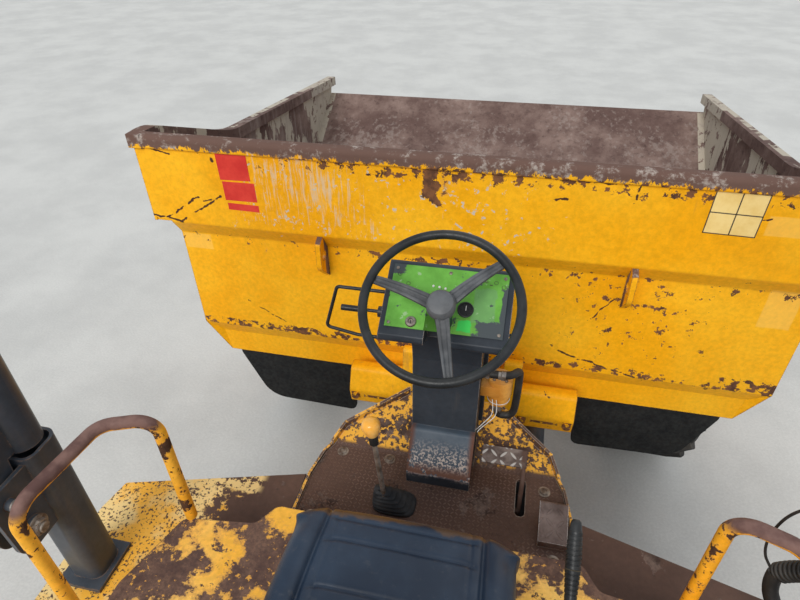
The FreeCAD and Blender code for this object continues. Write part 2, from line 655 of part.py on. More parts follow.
def steering_unit():
    # the hydraulic steering valve beside the column, with its hose looped round it
    z = floor_z + 285
    body = fuse([rod((158, -50, z - 40), (158, -50, z + 25), 40), rod((158, -50, z - 75), (158, -50, z - 40), 34),
                 rod((158, -50, z - 105), (158, -50, z - 75), 15), box(column_x, 158, -90, -45, z - 30, z + 10)])
    hose = bent([(158, -50, z - 85), (158, -50, z - 150), (236, -45, z - 140), (240, -50, z + 70),
                 (170, -110, z + 85), (column_x, -110, z + 85)], 12, 28)
    return fuse([body, hose])


fold_y, fold_z = -810, floor_z + 350
hoop_r = 42
hoop_y = -710
hoop_x = 900
hoop_z = floor_z + 1888


def rops_sockets():
    plan = [(hoop_x - 50, hoop_y - 50, 30), (hoop_x + 50, hoop_y - 50, 30), (hoop_x + 50, hoop_y + 50, 30),
            (hoop_x - 50, hoop_y + 50, 30)]
    face = outline(plan, lambda x, y: (x, y, floor_z))
    post = face.extrude(Vector(0, 0, fold_z + 165 - floor_z))
    bore = face.makeOffset2D(-8).extrude(Vector(0, 0, fold_z - floor_z))
    bore.translate(Vector(0, 0, fold_z - floor_z))
    post = post.cut(bore)
    foot = box(hoop_x - 65, hoop_x + 65, hoop_y - 75, hoop_y + 70, floor_z, floor_z + 12)
    cheeks = [sheet_yz([(hoop_y - 45, fold_z - 60), (fold_y - 55, fold_z - 60, 40), (fold_y - 60, fold_z + 150, 40),
                        (hoop_y - 45, fold_z + 150)], x, x + 12) for x in (hoop_x - 32, hoop_x + 20)]
    bolt = rod((hoop_x - 42, fold_y, fold_z), (hoop_x + 42, fold_y, fold_z), 15)
    heads = [rod((hoop_x - 44, fold_y, fold_z), (hoop_x - 32, fold_y, fold_z), 24),
             rod((hoop_x - 48, fold_y - 19, fold_z + 105), (hoop_x - 30, fold_y - 19, fold_z + 105), 14)]
    return Part.makeCompound(both(fuse([post, foot, bolt] + cheeks + heads)))


def rops_hoop():
    low = fold_z + 175
    hoop = bent([(-hoop_x, hoop_y, low), (-hoop_x, hoop_y, hoop_z), (hoop_x, hoop_y, hoop_z),
                 (hoop_x, hoop_y, low)], hoop_r, 150)
    arm = sheet_yz([(hoop_y, low + 5), (hoop_y - 60, low + 5), (fold_y + 30, fold_z + 60), (fold_y + 40, fold_z),
                    (fold_y, fold_z - 42, 40), (fold_y - 40, fold_z, 30), (fold_y - 45, low + 40, 30),
                    (hoop_y - 30, low + 150, 30), (hoop_y, low + 150)], hoop_x - 14, hoop_x + 14)
    arm = arm.cut(rod((hoop_x - 20, fold_y, fold_z), (hoop_x + 20, fold_y, fold_z), 15.05))
    return fuse([hoop] + both(arm))


deck_top = floor_z + 130
seat_y = -675


def seat_base():
    half = [(210, 0), (210, 22)] + [(150 + 35 * (i % 2), 34 + i * 15) for i in range(6)] + [(190, 125), (190, 145)]
    folds = sheet_xz(above(deck_top, half + [(-x, z) for x, z in half[::-1]]), seat_y - 430, seat_y - 70)
    runner = both(box(150, 190, seat_y - 480, seat_y - 40, deck_top, deck_top + 22))
    tray = box(-214, 214, seat_y - 530, seat_y - 60, deck_top + 133, deck_top + 145)
    bridge = box(-262, 262, seat_y - 455, seat_y - 400, deck_top + 133, deck_top + 145)
    hinge = both(sheet_yz(above(deck_top, [(seat_y - 400, 133), (seat_y - 400, 190, 20), (seat_y - 450, 270, 20),
                                           (seat_y - 500, 270, 20), (seat_y - 470, 133)]), 250, 262))
    rest = box(-190, 190, seat_y - 520, seat_y - 470, deck_top + 145, deck_top + 160)
    return fuse([folds, tray, bridge, rest] + runner + hinge)


def seat_cushion():
    top = [(-250, 145), (-250, 285, 40), (-190, 285, 30), (-160, 258, 30), (160, 258, 30), (190, 285, 30),
           (250, 285, 40), (250, 145)]
    block = sheet_xz(above(deck_top, top), seat_y - 445, seat_y + 35)
    side_on = sheet_yz(above(deck_top, [(seat_y - 445, 145.3), (seat_y - 445, 250), (seat_y - 100, 290, 200),
                                        (seat_y + 30, 262, 40), (seat_y + 15, 170, 40),
                                        (seat_y - 10, 145.3)]), -260, 260)
    plan = sheet_xy([(-250, seat_y - 445), (250, seat_y - 445), (235, seat_y + 30, 90), (-235, seat_y + 30, 90)],
                    deck_top, deck_top + 300)
    return block.common(side_on).common(plan)


def seat_back():
    profile = sheet_yz(above(deck_top, [(seat_y - 450, 160, 20), (seat_y - 450, 260), (seat_y - 540, 640, 20),
                                        (seat_y - 600, 640, 20), (seat_y - 540, 160, 20)]), -245, 245)
    front_on = sheet_xz(above(deck_top, [(-245, 160, 40), (245, 160, 40), (225, 640, 110), (-225, 640, 110)]),
                        seat_y - 640, seat_y - 400)
    hollow = rod((0, seat_y - 60, deck_top + 330), (0, seat_y - 200, deck_top + 900), 320)
    return profile.common(front_on).cut(hollow)


def gear_lever():
    x, y = -118, -345
    folds = [(62, 0), (62, 12)] + [(56 - i * 5 + 5 * (i % 2), 12 + i * 8) for i in range(1, 8)] + [(14, 84)]
    boot = turned_up([(0, 0)] + folds + [(0, 84)], x, y)
    boot.translate(Vector(0, 0, floor_z))
    stick = rod((x - 5, y, floor_z + 60), (-170, -352, floor_z + 300), 8)
    collar = rod((-166, -351, floor_z + 285), (-172, -353, floor_z + 320), 13)
    knob = turned_up([(0, 0), (17, 0), (25, 18), (27, 38), (20, 56), (0, 60)], -174, -354)
    knob.translate(Vector(0, 0, floor_z + 316))
    return fuse([boot, stick, collar, knob])


def park_lever():
    grip = [(0, 0), (15, 0), (17, 10), (17, 150), (14, 175), (0, 180)]
    handle = turned_up(grip, 0, 0)
    handle.rotate(Vector(0, 0, 0), Vector(1, 0, 0), -52)
    handle.translate(Vector(368, -668, deck_top + 95))
    stem = rod((370, -800, deck_top + 20), (368, -655, deck_top + 103), 9)
    base = sheet_yz(above(deck_top, [(-900, 0), (-900, 30, 15), (-820, 60, 20), (-780, 60, 20), (-730, 0)]), 356, 384)
    return fuse([base, stem, handle])


def pedals():
    pad = sheet_yz(above(floor_z, [(-198, 82), (-142, 96), (-139, 88), (-195, 74)]), 129, 268)
    arm = bent([(259, -165, floor_z + 82), (259, -235, floor_z + 62), (259, -262, floor_z - 70)], 7, 30)
    foot = rod((235, -262, floor_z - 50), (259, -262, floor_z - 50), 9)
    throttle = sheet_yz(above(floor_z, [(-400, 0), (-398, 22), (-290, 62, 10), (-284, 54), (-385, 12), (-385, 0)]),
                       314, 396)
    stem = rod((355, -310, floor_z), (355, -310, floor_z + 46), 7)
    return Part.makeCompound([fuse([pad, arm, foot]), fuse([throttle, stem])])


# Parts

tip_barrel, tip_rod = tip_ram(tip_ram_x)
steer_barrel, steer_rod = steer_ram()

parts = {
    "skip": skip(),
    "skip_underframe": skip_underframe(),
    "mudflaps": mudflaps(),
    "front_frame": front_frame(),
    "front_axle": axle(front_axle_y, axle_z + 95),
    "tip_barrel_right": tip_barrel,
    "tip_barrel_left": mirrored(tip_barrel),
    "tip_rod_right": tip_rod,
    "tip_rod_left": mirrored(tip_rod),
    "centre_block": centre_block(),
    "steer_barrel": steer_barrel,
    "steer_rod": steer_rod,
    "rear_frame": rear_frame(),
    "rear_axle": axle(rear_axle_y, axle_z + 115),
    "counterweight": counterweight(),
    "rear_lamps": rear_lamps(),
    "floor_plate": floor_plate(),
    "platforms": platforms(),
    "seat_deck": seat_deck(),
    "engine": engine(),
    "exhaust": exhaust(),
    "bonnet": bonnet(),
    "tanks": tanks(),
    "steps": steps(),
    "column": column(),
    "dash": dash(),
    "dash_controls": dash_controls(),
    "steering_unit": steering_unit(),
    "steering_wheel": steering_wheel(),
    "handles": handles(),
    "rops_sockets": rops_sockets(),
    "rops_hoop": rops_hoop(),
    "seat_base": seat_base(),
    "seat_cushion": seat_cushion(),
    "seat_back": seat_back(),
    "levers": Part.makeCompound([gear_lever(), park_lever()]),
    "pedals": pedals(),
}
for end, y in (("front", front_axle_y), ("rear", rear_axle_y)):
    for hand, sign in (("right", 1), ("left", -1)):
        for kind, solid in (("tyre", tyre()), ("rim", rim())):
            placed = solid if sign > 0 else mirrored(solid)
            placed.translate(Vector(sign * wheel_x, y, axle_z))
            parts[kind + "_" + end + "_" + hand] = placed

for name, shape in parts.items():
    shape.exportStep("parts/" + name + ".step")
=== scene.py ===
import math
import random
import bmesh
import bpy
from mathutils import Matrix, Vector, noise


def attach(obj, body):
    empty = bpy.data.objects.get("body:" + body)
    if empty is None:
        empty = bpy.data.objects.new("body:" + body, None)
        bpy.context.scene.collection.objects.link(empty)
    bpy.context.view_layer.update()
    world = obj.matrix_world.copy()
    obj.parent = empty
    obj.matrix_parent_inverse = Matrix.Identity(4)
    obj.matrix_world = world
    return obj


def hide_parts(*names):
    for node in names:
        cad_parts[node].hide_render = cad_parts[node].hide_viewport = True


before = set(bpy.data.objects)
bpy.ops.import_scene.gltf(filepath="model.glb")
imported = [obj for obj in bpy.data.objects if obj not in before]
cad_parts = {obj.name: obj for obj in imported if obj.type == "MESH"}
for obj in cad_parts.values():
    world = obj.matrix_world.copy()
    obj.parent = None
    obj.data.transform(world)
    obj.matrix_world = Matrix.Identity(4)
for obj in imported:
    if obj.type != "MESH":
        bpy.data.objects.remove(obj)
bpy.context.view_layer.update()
bpy.ops.object.select_all(action="DESELECT")
scene = bpy.context.scene
scene.view_settings.view_transform = "Standard"
print("frame loaded,", len(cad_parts), "nodes")

# camera, as the photographer stood on the rear deck
camera = {"place": (0.1506, -1.3812, 2.8198), "lens": 25.88, "turn": 0.22768, "down": 0.62822, "roll": -0.01722}
bpy.ops.object.camera_add(location=camera["place"])
cameraObject = bpy.context.object
cameraObject.data.lens = camera["lens"]
cameraObject.data.clip_start = 0.02
aim = Matrix.Rotation(camera["turn"], 3, "Z") @ Matrix.Rotation(math.pi / 2 - camera["down"], 3, "X")
cameraObject.rotation_euler = (aim @ Matrix.Rotation(camera["roll"], 3, "Z")).to_euler()
scene.camera = cameraObject


# shader helpers

def put(tree, kind, inputs=None, **settings):
    step = tree.nodes.new("ShaderNode" + kind)
    for key, value in settings.items():
        setattr(step, key, value)
    for key, value in (inputs or {}).items():
        if isinstance(value, bpy.types.NodeSocket):
            tree.links.new(value, step.inputs[key])
        else:
            step.inputs[key].default_value = value
    return step


def calc(tree, operation, a, b=0.0, clamp=False):
    return put(tree, "Math", {0: a, 1: b}, operation=operation, use_clamp=clamp).outputs[0]


def blendOf(tree, factor, a, b, mode="MIX"):
    return put(tree, "Mix", {0: factor, 6: a, 7: b}, data_type="RGBA", blend_type=mode).outputs[2]


def between(tree, value, low, high, toLow=0.0, toHigh=1.0):
    return put(tree, "MapRange", {"Value": value, "From Min": low, "From Max": high, "To Min": toLow,
                                  "To Max": toHigh}, interpolation_type="SMOOTHSTEP").outputs[0]


def speckle(tree, place, scale, detail=4.0, rough=0.6, stretch=None):
    if stretch:
        place = put(tree, "Mapping", {"Vector": place, "Scale": stretch}).outputs[0]
    return put(tree, "TexNoise", {"Vector": place, "Scale": scale, "Detail": detail, "Roughness": rough}).outputs[0]


def rgba(colour):
    return (*colour, 1.0)


def newGroup(name, inputs, outputs):
    tree = bpy.data.node_groups.new(name, "ShaderNodeTree")
    for label, kind, value in inputs:
        socket = tree.interface.new_socket(label, in_out="INPUT", socket_type="NodeSocket" + kind)
        if value is not None:
            socket.default_value = value
    for label, kind in outputs:
        tree.interface.new_socket(label, in_out="OUTPUT", socket_type="NodeSocket" + kind)
    return tree, tree.nodes.new("NodeGroupInput").outputs, tree.nodes.new("NodeGroupOutput").inputs


def makeFlakes():
    # chips and flakes: broad islands whose borders are eaten by a finer noise
    tree, given, out = newGroup("flakes", [("Place", "Vector", None), ("Scale", "Float", 8.0), ("Cover", "Float", 0.3)],
                                [("Mask", "Float")])
    broad = speckle(tree, given["Place"], given["Scale"], 3.0, 0.5)
    fine = speckle(tree, given["Place"], calc(tree, "MULTIPLY", given["Scale"], 5.0), 6.0, 0.7)
    both = calc(tree, "ADD", calc(tree, "MULTIPLY", broad, 0.72), calc(tree, "MULTIPLY", fine, 0.28))
    line = calc(tree, "SUBTRACT", 0.76, calc(tree, "MULTIPLY", given["Cover"], 0.52))
    tree.links.new(between(tree, calc(tree, "SUBTRACT", both, line), -0.008, 0.012), out["Mask"])
    return tree


def makeEdgeWear():
    # bare metal along sharp edges, broken up by noise
    tree, given, out = newGroup("edgeWear", [("Place", "Vector", None), ("Reach", "Float", 0.006), ("Amount", "Float", 0.5)],
                                [("Mask", "Float")])
    rounded = put(tree, "Bevel", {"Radius": given["Reach"]}, samples=4).outputs[0]
    flat = put(tree, "NewGeometry").outputs["Normal"]
    away = calc(tree, "SUBTRACT", 1.0, put(tree, "VectorMath", {0: rounded, 1: flat}, operation="DOT_PRODUCT").outputs["Value"])
    broken = calc(tree, "MULTIPLY", between(tree, away, 0.01, 0.16), speckle(tree, given["Place"], 38.0, 6.0, 0.7))
    line = calc(tree, "SUBTRACT", 0.62, calc(tree, "MULTIPLY", given["Amount"], 0.5))
    tree.links.new(between(tree, calc(tree, "SUBTRACT", broken, line), -0.02, 0.05), out["Mask"])
    return tree


def makeRuns():
    # upright streaks of rust water and dirt
    tree, given, out = newGroup("runs", [("Place", "Vector", None), ("Width", "Float", 26.0), ("Amount", "Float", 0.3)],
                                [("Mask", "Float")])
    tall = speckle(tree, given["Place"], given["Width"], 5.0, 0.65, (1.0, 1.0, 0.09))
    gate = speckle(tree, given["Place"], 3.2, 3.0, 0.5)
    both = calc(tree, "ADD", calc(tree, "MULTIPLY", tall, 0.6), calc(tree, "MULTIPLY", gate, 0.4))
    line = calc(tree, "SUBTRACT", 0.72, calc(tree, "MULTIPLY", given["Amount"], 0.4))
    tree.links.new(between(tree, calc(tree, "SUBTRACT", both, line), 0.0, 0.09), out["Mask"])
    return tree


def makeZone():
    # a soft box about Centre with ragged borders
    tree, given, out = newGroup("zone", [("Place", "Vector", None), ("Centre", "Vector", (0, 0, 0)),
                                         ("Half", "Vector", (1, 1, 1)), ("Ragged", "Float", 0.3)], [("Mask", "Float")])
    off = put(tree, "VectorMath", {0: given["Place"], 1: given["Centre"]}, operation="SUBTRACT").outputs[0]
    off = put(tree, "VectorMath", {0: off, 1: given["Half"]}, operation="DIVIDE").outputs[0]
    off = put(tree, "SeparateXYZ", {0: put(tree, "VectorMath", {0: off}, operation="ABSOLUTE").outputs[0]}).outputs
    far = calc(tree, "MAXIMUM", calc(tree, "MAXIMUM", off[0], off[1]), off[2])
    rag = calc(tree, "MULTIPLY", calc(tree, "SUBTRACT", speckle(tree, given["Place"], 24.0, 6.0, 0.7), 0.5), given["Ragged"])
    tree.links.new(between(tree, calc(tree, "ADD", far, calc(tree, "MULTIPLY", rag, 3.0)), 0.9, 1.0, 1.0, 0.0), out["Mask"])
    return tree


def makeScratch():
    # a wandering line from Start to End
    tree, given, out = newGroup("scratch", [("Place", "Vector", None), ("Start", "Vector", (0, 0, 0)),
                                            ("End", "Vector", (1, 0, 0)), ("Width", "Float", 0.004)], [("Mask", "Float")])
    wander = put(tree, "TexNoise", {"Vector": given["Place"], "Scale": 16.0, "Detail": 5.0}).outputs["Color"]
    wander = put(tree, "VectorMath", {0: wander, 1: (0.5, 0.5, 0.5)}, operation="SUBTRACT").outputs[0]
    wander = put(tree, "VectorMath", {0: wander, "Scale": 0.035}, operation="SCALE").outputs[0]
    spot = put(tree, "VectorMath", {0: given["Place"], 1: wander}, operation="ADD").outputs[0]
    toSpot = put(tree, "VectorMath", {0: spot, 1: given["Start"]}, operation="SUBTRACT").outputs[0]
    run = put(tree, "VectorMath", {0: given["End"], 1: given["Start"]}, operation="SUBTRACT").outputs[0]
    along = put(tree, "VectorMath", {0: toSpot, 1: run}, operation="DOT_PRODUCT").outputs["Value"]
    whole = put(tree, "VectorMath", {0: run, 1: run}, operation="DOT_PRODUCT").outputs["Value"]
    share = calc(tree, "DIVIDE", along, whole, clamp=True)
    foot = put(tree, "VectorMath", {0: run, "Scale": share}, operation="SCALE").outputs[0]
    gap = put(tree, "VectorMath", {0: toSpot, 1: foot}, operation="DISTANCE").outputs["Value"]
    thin = calc(tree, "MULTIPLY", given["Width"], between(tree, speckle(tree, given["Place"], 45.0), 0.35, 0.6, 0.5, 1.25))
    tree.links.new(calc(tree, "SUBTRACT", 1.0, calc(tree, "DIVIDE", gap, thin), clamp=True), out["Mask"])
    return tree


def makeTread():
    # raised lozenges of chequer plate, turned a quarter from one cell to the next
    tree, given, out = newGroup("tread", [("Place", "Vector", None), ("Pitch", "Float", 0.014)], [("Mask", "Float")])
    spot = put(tree, "VectorMath", {0: given["Place"], "Scale": calc(tree, "DIVIDE", 1.0, given["Pitch"])}, operation="SCALE").outputs[0]
    axes = put(tree, "SeparateXYZ", {0: spot}).outputs
    cells = calc(tree, "ADD", calc(tree, "FLOOR", axes[0]), calc(tree, "FLOOR", axes[1]))
    odd = calc(tree, "FLOORED_MODULO", cells, 2.0)
    x = calc(tree, "SUBTRACT", calc(tree, "FRACT", axes[0]), 0.5)
    y = calc(tree, "SUBTRACT", calc(tree, "FRACT", axes[1]), 0.5)
    rising, falling = calc(tree, "ADD", x, y), calc(tree, "SUBTRACT", x, y)
    gap = calc(tree, "MULTIPLY", odd, calc(tree, "SUBTRACT", falling, rising))
    along, across = calc(tree, "ADD", rising, gap), calc(tree, "SUBTRACT", falling, gap)
    far = calc(tree, "ADD", calc(tree, "POWER", calc(tree, "DIVIDE", calc(tree, "ABSOLUTE", along), 0.76), 2.0),
               calc(tree, "POWER", calc(tree, "DIVIDE", calc(tree, "ABSOLUTE", across), 0.22), 2.0))
    tree.links.new(between(tree, far, 0.45, 1.0, 1.0, 0.0), out["Mask"])
    return tree


groups = {"flakes": makeFlakes(), "edgeWear": makeEdgeWear(), "runs": makeRuns(), "zone": makeZone(),
          "scratch": makeScratch(), "tread": makeTread()}


def effect(tree, name, place, **values):
    step = tree.nodes.new("ShaderNodeGroup")
    step.node_tree = groups[name]
    tree.links.new(place, step.inputs["Place"])
    for key, value in values.items():
        step.inputs[key].default_value = value
    return step.outputs["Mask"]


def newFinish(name, rough=0.5, metal=0.0, coat=0.0, shine=0.25):
    # a material with its shader and the object coordinates to build on
    material = bpy.data.materials.new(name)
    material.use_nodes = True
    tree = material.node_tree
    tree.nodes.clear()
    shader = put(tree, "BsdfPrincipled", {"Roughness": rough, "Metallic": metal, "Coat Weight": coat,
                                         "Specular IOR Level": shine})
    target = tree.nodes.new("ShaderNodeOutputMaterial")
    tree.links.new(shader.outputs[0], target.inputs[0])
    coordinates = put(tree, "TexCoord").outputs
    return material, tree, shader, coordinates


def setBump(tree, shader, height, strength, distance=0.002):
    bump = put(tree, "Bump", {"Strength": strength, "Distance": distance, "Height": height})
    if shader.inputs["Normal"].is_linked:
        tree.links.new(shader.inputs["Normal"].links[0].from_socket, bump.inputs["Normal"])
    tree.links.new(bump.outputs[0], shader.inputs["Normal"])


def wornPaint(name, look, extra=None):
    # paint over primer and rust: clouding, flakes, worn edges, runs and dust, then what extra adds
    material, tree, shader, coordinates = newFinish(name, coat=look.get("coat", 0.0), shine=look.get("shine", 0.25))
    place = coordinates["Object"]
    cloud = speckle(tree, place, look.get("cloudScale", 2.3), 5.0, 0.6)
    colour = blendOf(tree, between(tree, cloud, 0.35, 0.68), rgba(look["paint"]), rgba(look["faded"]))
    fine = speckle(tree, place, 60.0, 4.0, 0.7)
    rustTone = blendOf(tree, between(tree, speckle(tree, place, 21.0, 6.0, 0.7), 0.36, 0.62), rgba(look["rust"]),
                       rgba(look["rustPale"]))
    dirt = effect(tree, "runs", place, Width=look.get("runWidth", 24.0), Amount=look.get("runs", 0.3))
    colour = blendOf(tree, calc(tree, "MULTIPLY", dirt, look.get("runDepth", 0.45)), colour, rgba(look["dirt"]))
    halo = effect(tree, "flakes", place, Scale=look["flakeScale"], Cover=look["cover"] + 0.05)
    chips = effect(tree, "flakes", place, Scale=look["flakeScale"], Cover=look["cover"])
    small = effect(tree, "flakes", place, Scale=look["flakeScale"] * 4.3, Cover=look["cover"] * 0.75)
    edge = effect(tree, "edgeWear", place, Reach=look.get("reach", 0.006), Amount=look["edge"])
    bare = calc(tree, "MAXIMUM", calc(tree, "MAXIMUM", chips, small), edge)
    colour = blendOf(tree, calc(tree, "MULTIPLY", halo, 0.5), colour, rgba(look["halo"]))
    colour = blendOf(tree, bare, colour, rustTone)
    shade = between(tree, fine, 0.2, 0.8, 0.86, 1.12)
    colour = put(tree, "HueSaturation", {"Color": colour, "Value": shade}).outputs[0]
    relief = []
    if extra:
        colour, bare, *relief = extra(tree, coordinates, colour, bare, rustTone)
    tree.links.new(colour, shader.inputs["Base Color"])
    rough = between(tree, bare, 0.0, 1.0, look.get("gloss", 0.42), 0.82)
    tree.links.new(calc(tree, "ADD", rough, between(tree, cloud, 0.3, 0.7, -0.05, 0.08)), shader.inputs["Roughness"])
    height = calc(tree, "SUBTRACT", calc(tree, "MULTIPLY", fine, 0.25), calc(tree, "MULTIPLY", bare, 0.6))
    setBump(tree, shader, height, look.get("bump", 0.35), 0.0012)
    for raised in relief:
        setBump(tree, shader, raised, 0.9, 0.0022)
    return material


rustBrown = (0.085, 0.042, 0.028)
rustOrange = (0.23, 0.10, 0.045)
plainYellow = {"paint": (0.90, 0.40, 0.006), "faded": (0.98, 0.50, 0.018), "rust": rustBrown, "rustPale": rustOrange,
               "dirt": (0.42, 0.20, 0.05), "halo": (0.72, 0.33, 0.06), "flakeScale": 5.0, "cover": 0.14, "edge": 0.35,
               "runs": 0.22, "shine": 0.12}


def insideMask(tree, coordinates, centre, backY):
    # true on the faces of the tub that look at its middle
    toMiddle = put(tree, "VectorMath", {0: centre, 1: coordinates["Object"]}, operation="SUBTRACT").outputs[0]
    facing = put(tree, "VectorMath", {0: toMiddle, 1: coordinates["Normal"]}, operation="DOT_PRODUCT").outputs["Value"]
    axes = put(tree, "SeparateXYZ", {0: coordinates["Object"]}).outputs
    return calc(tree, "MULTIPLY", between(tree, facing, 0.0, 0.01), between(tree, axes[1], backY, backY + 0.004)), axes


def skipMarks(tree, coordinates, colour, bare, rustTone):
    place = coordinates["Object"]
    # pale scuffs and grey smears on the upper panel
    smear = calc(tree, "MULTIPLY", effect(tree, "zone", place, Centre=(-0.47, 0.37, 1.93), Half=(0.36, 0.05, 0.14), Ragged=0.9),
                 effect(tree, "runs", place, Width=88.0, Amount=0.47))
    colour = blendOf(tree, calc(tree, "MULTIPLY", smear, 0.6), colour, rgba((0.66, 0.58, 0.46)))
    scuff = calc(tree, "MULTIPLY", effect(tree, "zone", place, Centre=(-0.3, 0.37, 1.9), Half=(0.50, 0.06, 0.13), Ragged=1.0),
                 effect(tree, "flakes", place, Scale=52.0, Cover=0.27))
    colour = blendOf(tree, calc(tree, "MULTIPLY", scuff, 0.85), colour, rgba((0.55, 0.55, 0.50)))
    # paler places where labels were
    for centre, half in (((-1.1, 0.42, 1.655), (0.062, 0.06, 0.036)), ((0.95, 0.37, 1.955), (0.055, 0.06, 0.035)),
                         ((1.06, 0.42, 1.625), (0.055, 0.06, 0.085))):
        ghost = effect(tree, "zone", place, Centre=centre, Half=half, Ragged=0.05)
        colour = blendOf(tree, calc(tree, "MULTIPLY", ghost, 0.4), colour, rgba((1.0, 0.62, 0.14)))
    # dents and gouges down to rust
    for start, end, width in scratchLines:
        line = effect(tree, "scratch", place, Start=start, End=end, Width=width)
        mark = between(tree, line, 0.05, 0.4)
        colour = blendOf(tree, mark, colour, rgba((0.075, 0.035, 0.022)))
        bare = calc(tree, "MAXIMUM", bare, mark)
    for centre, half, cover in rustSpots:
        spot = calc(tree, "MULTIPLY", effect(tree, "zone", place, Centre=centre, Half=half, Ragged=1.3),
                    effect(tree, "flakes", place, Scale=30.0, Cover=cover))
        colour = blendOf(tree, spot, colour, rustTone)
        bare = calc(tree, "MAXIMUM", bare, spot)
    # the top edges are worn to brown metal
    inside, axes = insideMask(tree, coordinates, (0.0, 1.3, 1.93), 0.384)
    up = put(tree, "SeparateXYZ", {0: coordinates["Normal"]}).outputs[2]
    ragged = calc(tree, "ADD", up, calc(tree, "MULTIPLY", speckle(tree, place, 17.0, 6.0, 0.7), 0.9))
    top = calc(tree, "MULTIPLY", between(tree, ragged, 0.92, 1.12), between(tree, axes[2], 1.64, 1.68))
    spiky = calc(tree, "MULTIPLY", calc(tree, "SUBTRACT", speckle(tree, place, 34.0, 8.0, 0.8, (1.0, 1.0, 0.45)), 0.5), 0.11)
    rim = between(tree, calc(tree, "ADD", axes[2], spiky), 2.066, 2.070)
    top = calc(tree, "MAXIMUM", top, calc(tree, "MULTIPLY", rim, between(tree, axes[1], 0.50, 0.49)))
    scraped = blendOf(tree, between(tree, speckle(tree, place, 26.0, 6.0, 0.75), 0.52, 0.68), rgba((0.15, 0.088, 0.070)),
                      rgba((0.40, 0.34, 0.30)))
    colour = blendOf(tree, top, colour, scraped)
    # the inside: brown rust, scraped paler on the floor, with cream paint left on the side walls
    rust = blendOf(tree, between(tree, speckle(tree, place, 3.4, 6.0, 0.68), 0.38, 0.66), rgba((0.120, 0.074, 0.064)),
                   rgba((0.250, 0.175, 0.150)))
    rust = blendOf(tree, between(tree, speckle(tree, place, 34.0, 6.0, 0.7), 0.5, 0.72, 0.0, 0.55), rust, rgba((0.05, 0.03, 0.027)))
    out = calc(tree, "ABSOLUTE", axes[0])
    tall = put(tree, "Mapping", {"Vector": place, "Scale": (1.0, 1.0, 0.42)}).outputs[0]
    wall = calc(tree, "MULTIPLY", between(tree, out, 1.148, 1.152), effect(tree, "flakes", tall, Scale=9.0, Cover=0.46))
    corner = calc(tree, "MULTIPLY", between(tree, out, 1.118, 1.124), effect(tree, "flakes", place, Scale=22.0, Cover=0.62))
    corner = calc(tree, "MULTIPLY", corner, between(tree, axes[1], 1.9, 1.92))
    rust = blendOf(tree, calc(tree, "MULTIPLY", calc(tree, "MAXIMUM", wall, corner), 0.85), rust, rgba((0.52, 0.47, 0.38)))
    streak = effect(tree, "runs", place, Width=34.0, Amount=0.50)
    rust = blendOf(tree, calc(tree, "MULTIPLY", streak, 0.42), rust, rgba((0.34, 0.28, 0.25)))
    colour = blendOf(tree, inside, colour, rust)
    return colour, calc(tree, "MAXIMUM", calc(tree, "MAXIMUM", bare, inside), top)


scratchLines = [((-1.259, 0.375, 1.785), (-1.12, 0.375, 1.770), 0.006), ((-1.183, 0.375, 1.772), (-1.02, 0.375, 1.882), 0.0045),
                ((-1.117, 0.375, 1.772), (-0.931, 0.375, 1.884), 0.0055), ((-1.005, 0.375, 1.866), (-0.955, 0.375, 1.868), 0.004),
                ((-1.20, 0.375, 2.068), (-1.107, 0.375, 2.038), 0.0055), ((-0.949, 0.375, 2.07), (-0.938, 0.375, 2.03), 0.007),
                ((-0.758, 0.375, 2.023), (-0.744, 0.375, 1.983), 0.004), ((0.766, 0.375, 1.897), (0.827, 0.375, 1.968), 0.0035),
                ((0.827, 0.375, 1.968), (0.906, 0.375, 1.977), 0.0035), ((0.507, 0.375, 2.06), (0.509, 0.375, 2.003), 0.0045),
                ((0.278, 0.375, 2.048), (0.451, 0.375, 2.060), 0.005), ((0.26, 0.375, 1.983), (0.301, 0.375, 1.992), 0.006),
                ((0.37, 0.42, 1.32), (0.70, 0.42, 1.225), 0.006), ((-0.93, 0.42, 1.38), (-0.71, 0.42, 1.25), 0.004),
                ((0.45, 0.42, 1.48), (0.53, 0.42, 1.60), 0.004)]
rustSpots = [((-0.145, 0.37, 2.0), (0.03, 0.05, 0.06), 0.75), ((0.62, 0.42, 1.50), (0.20, 0.05, 0.16), 0.34),
             ((1.1, 0.42, 1.26), (0.14, 0.05, 0.03), 0.6), ((-0.2, 0.42, 1.25), (1.0, 0.05, 0.018), 0.5),
             ((0.0, 0.42, 1.68), (1.15, 0.05, 0.02), 0.36), ((0.35, 0.37, 2.05), (0.9, 0.05, 0.03), 0.45)]
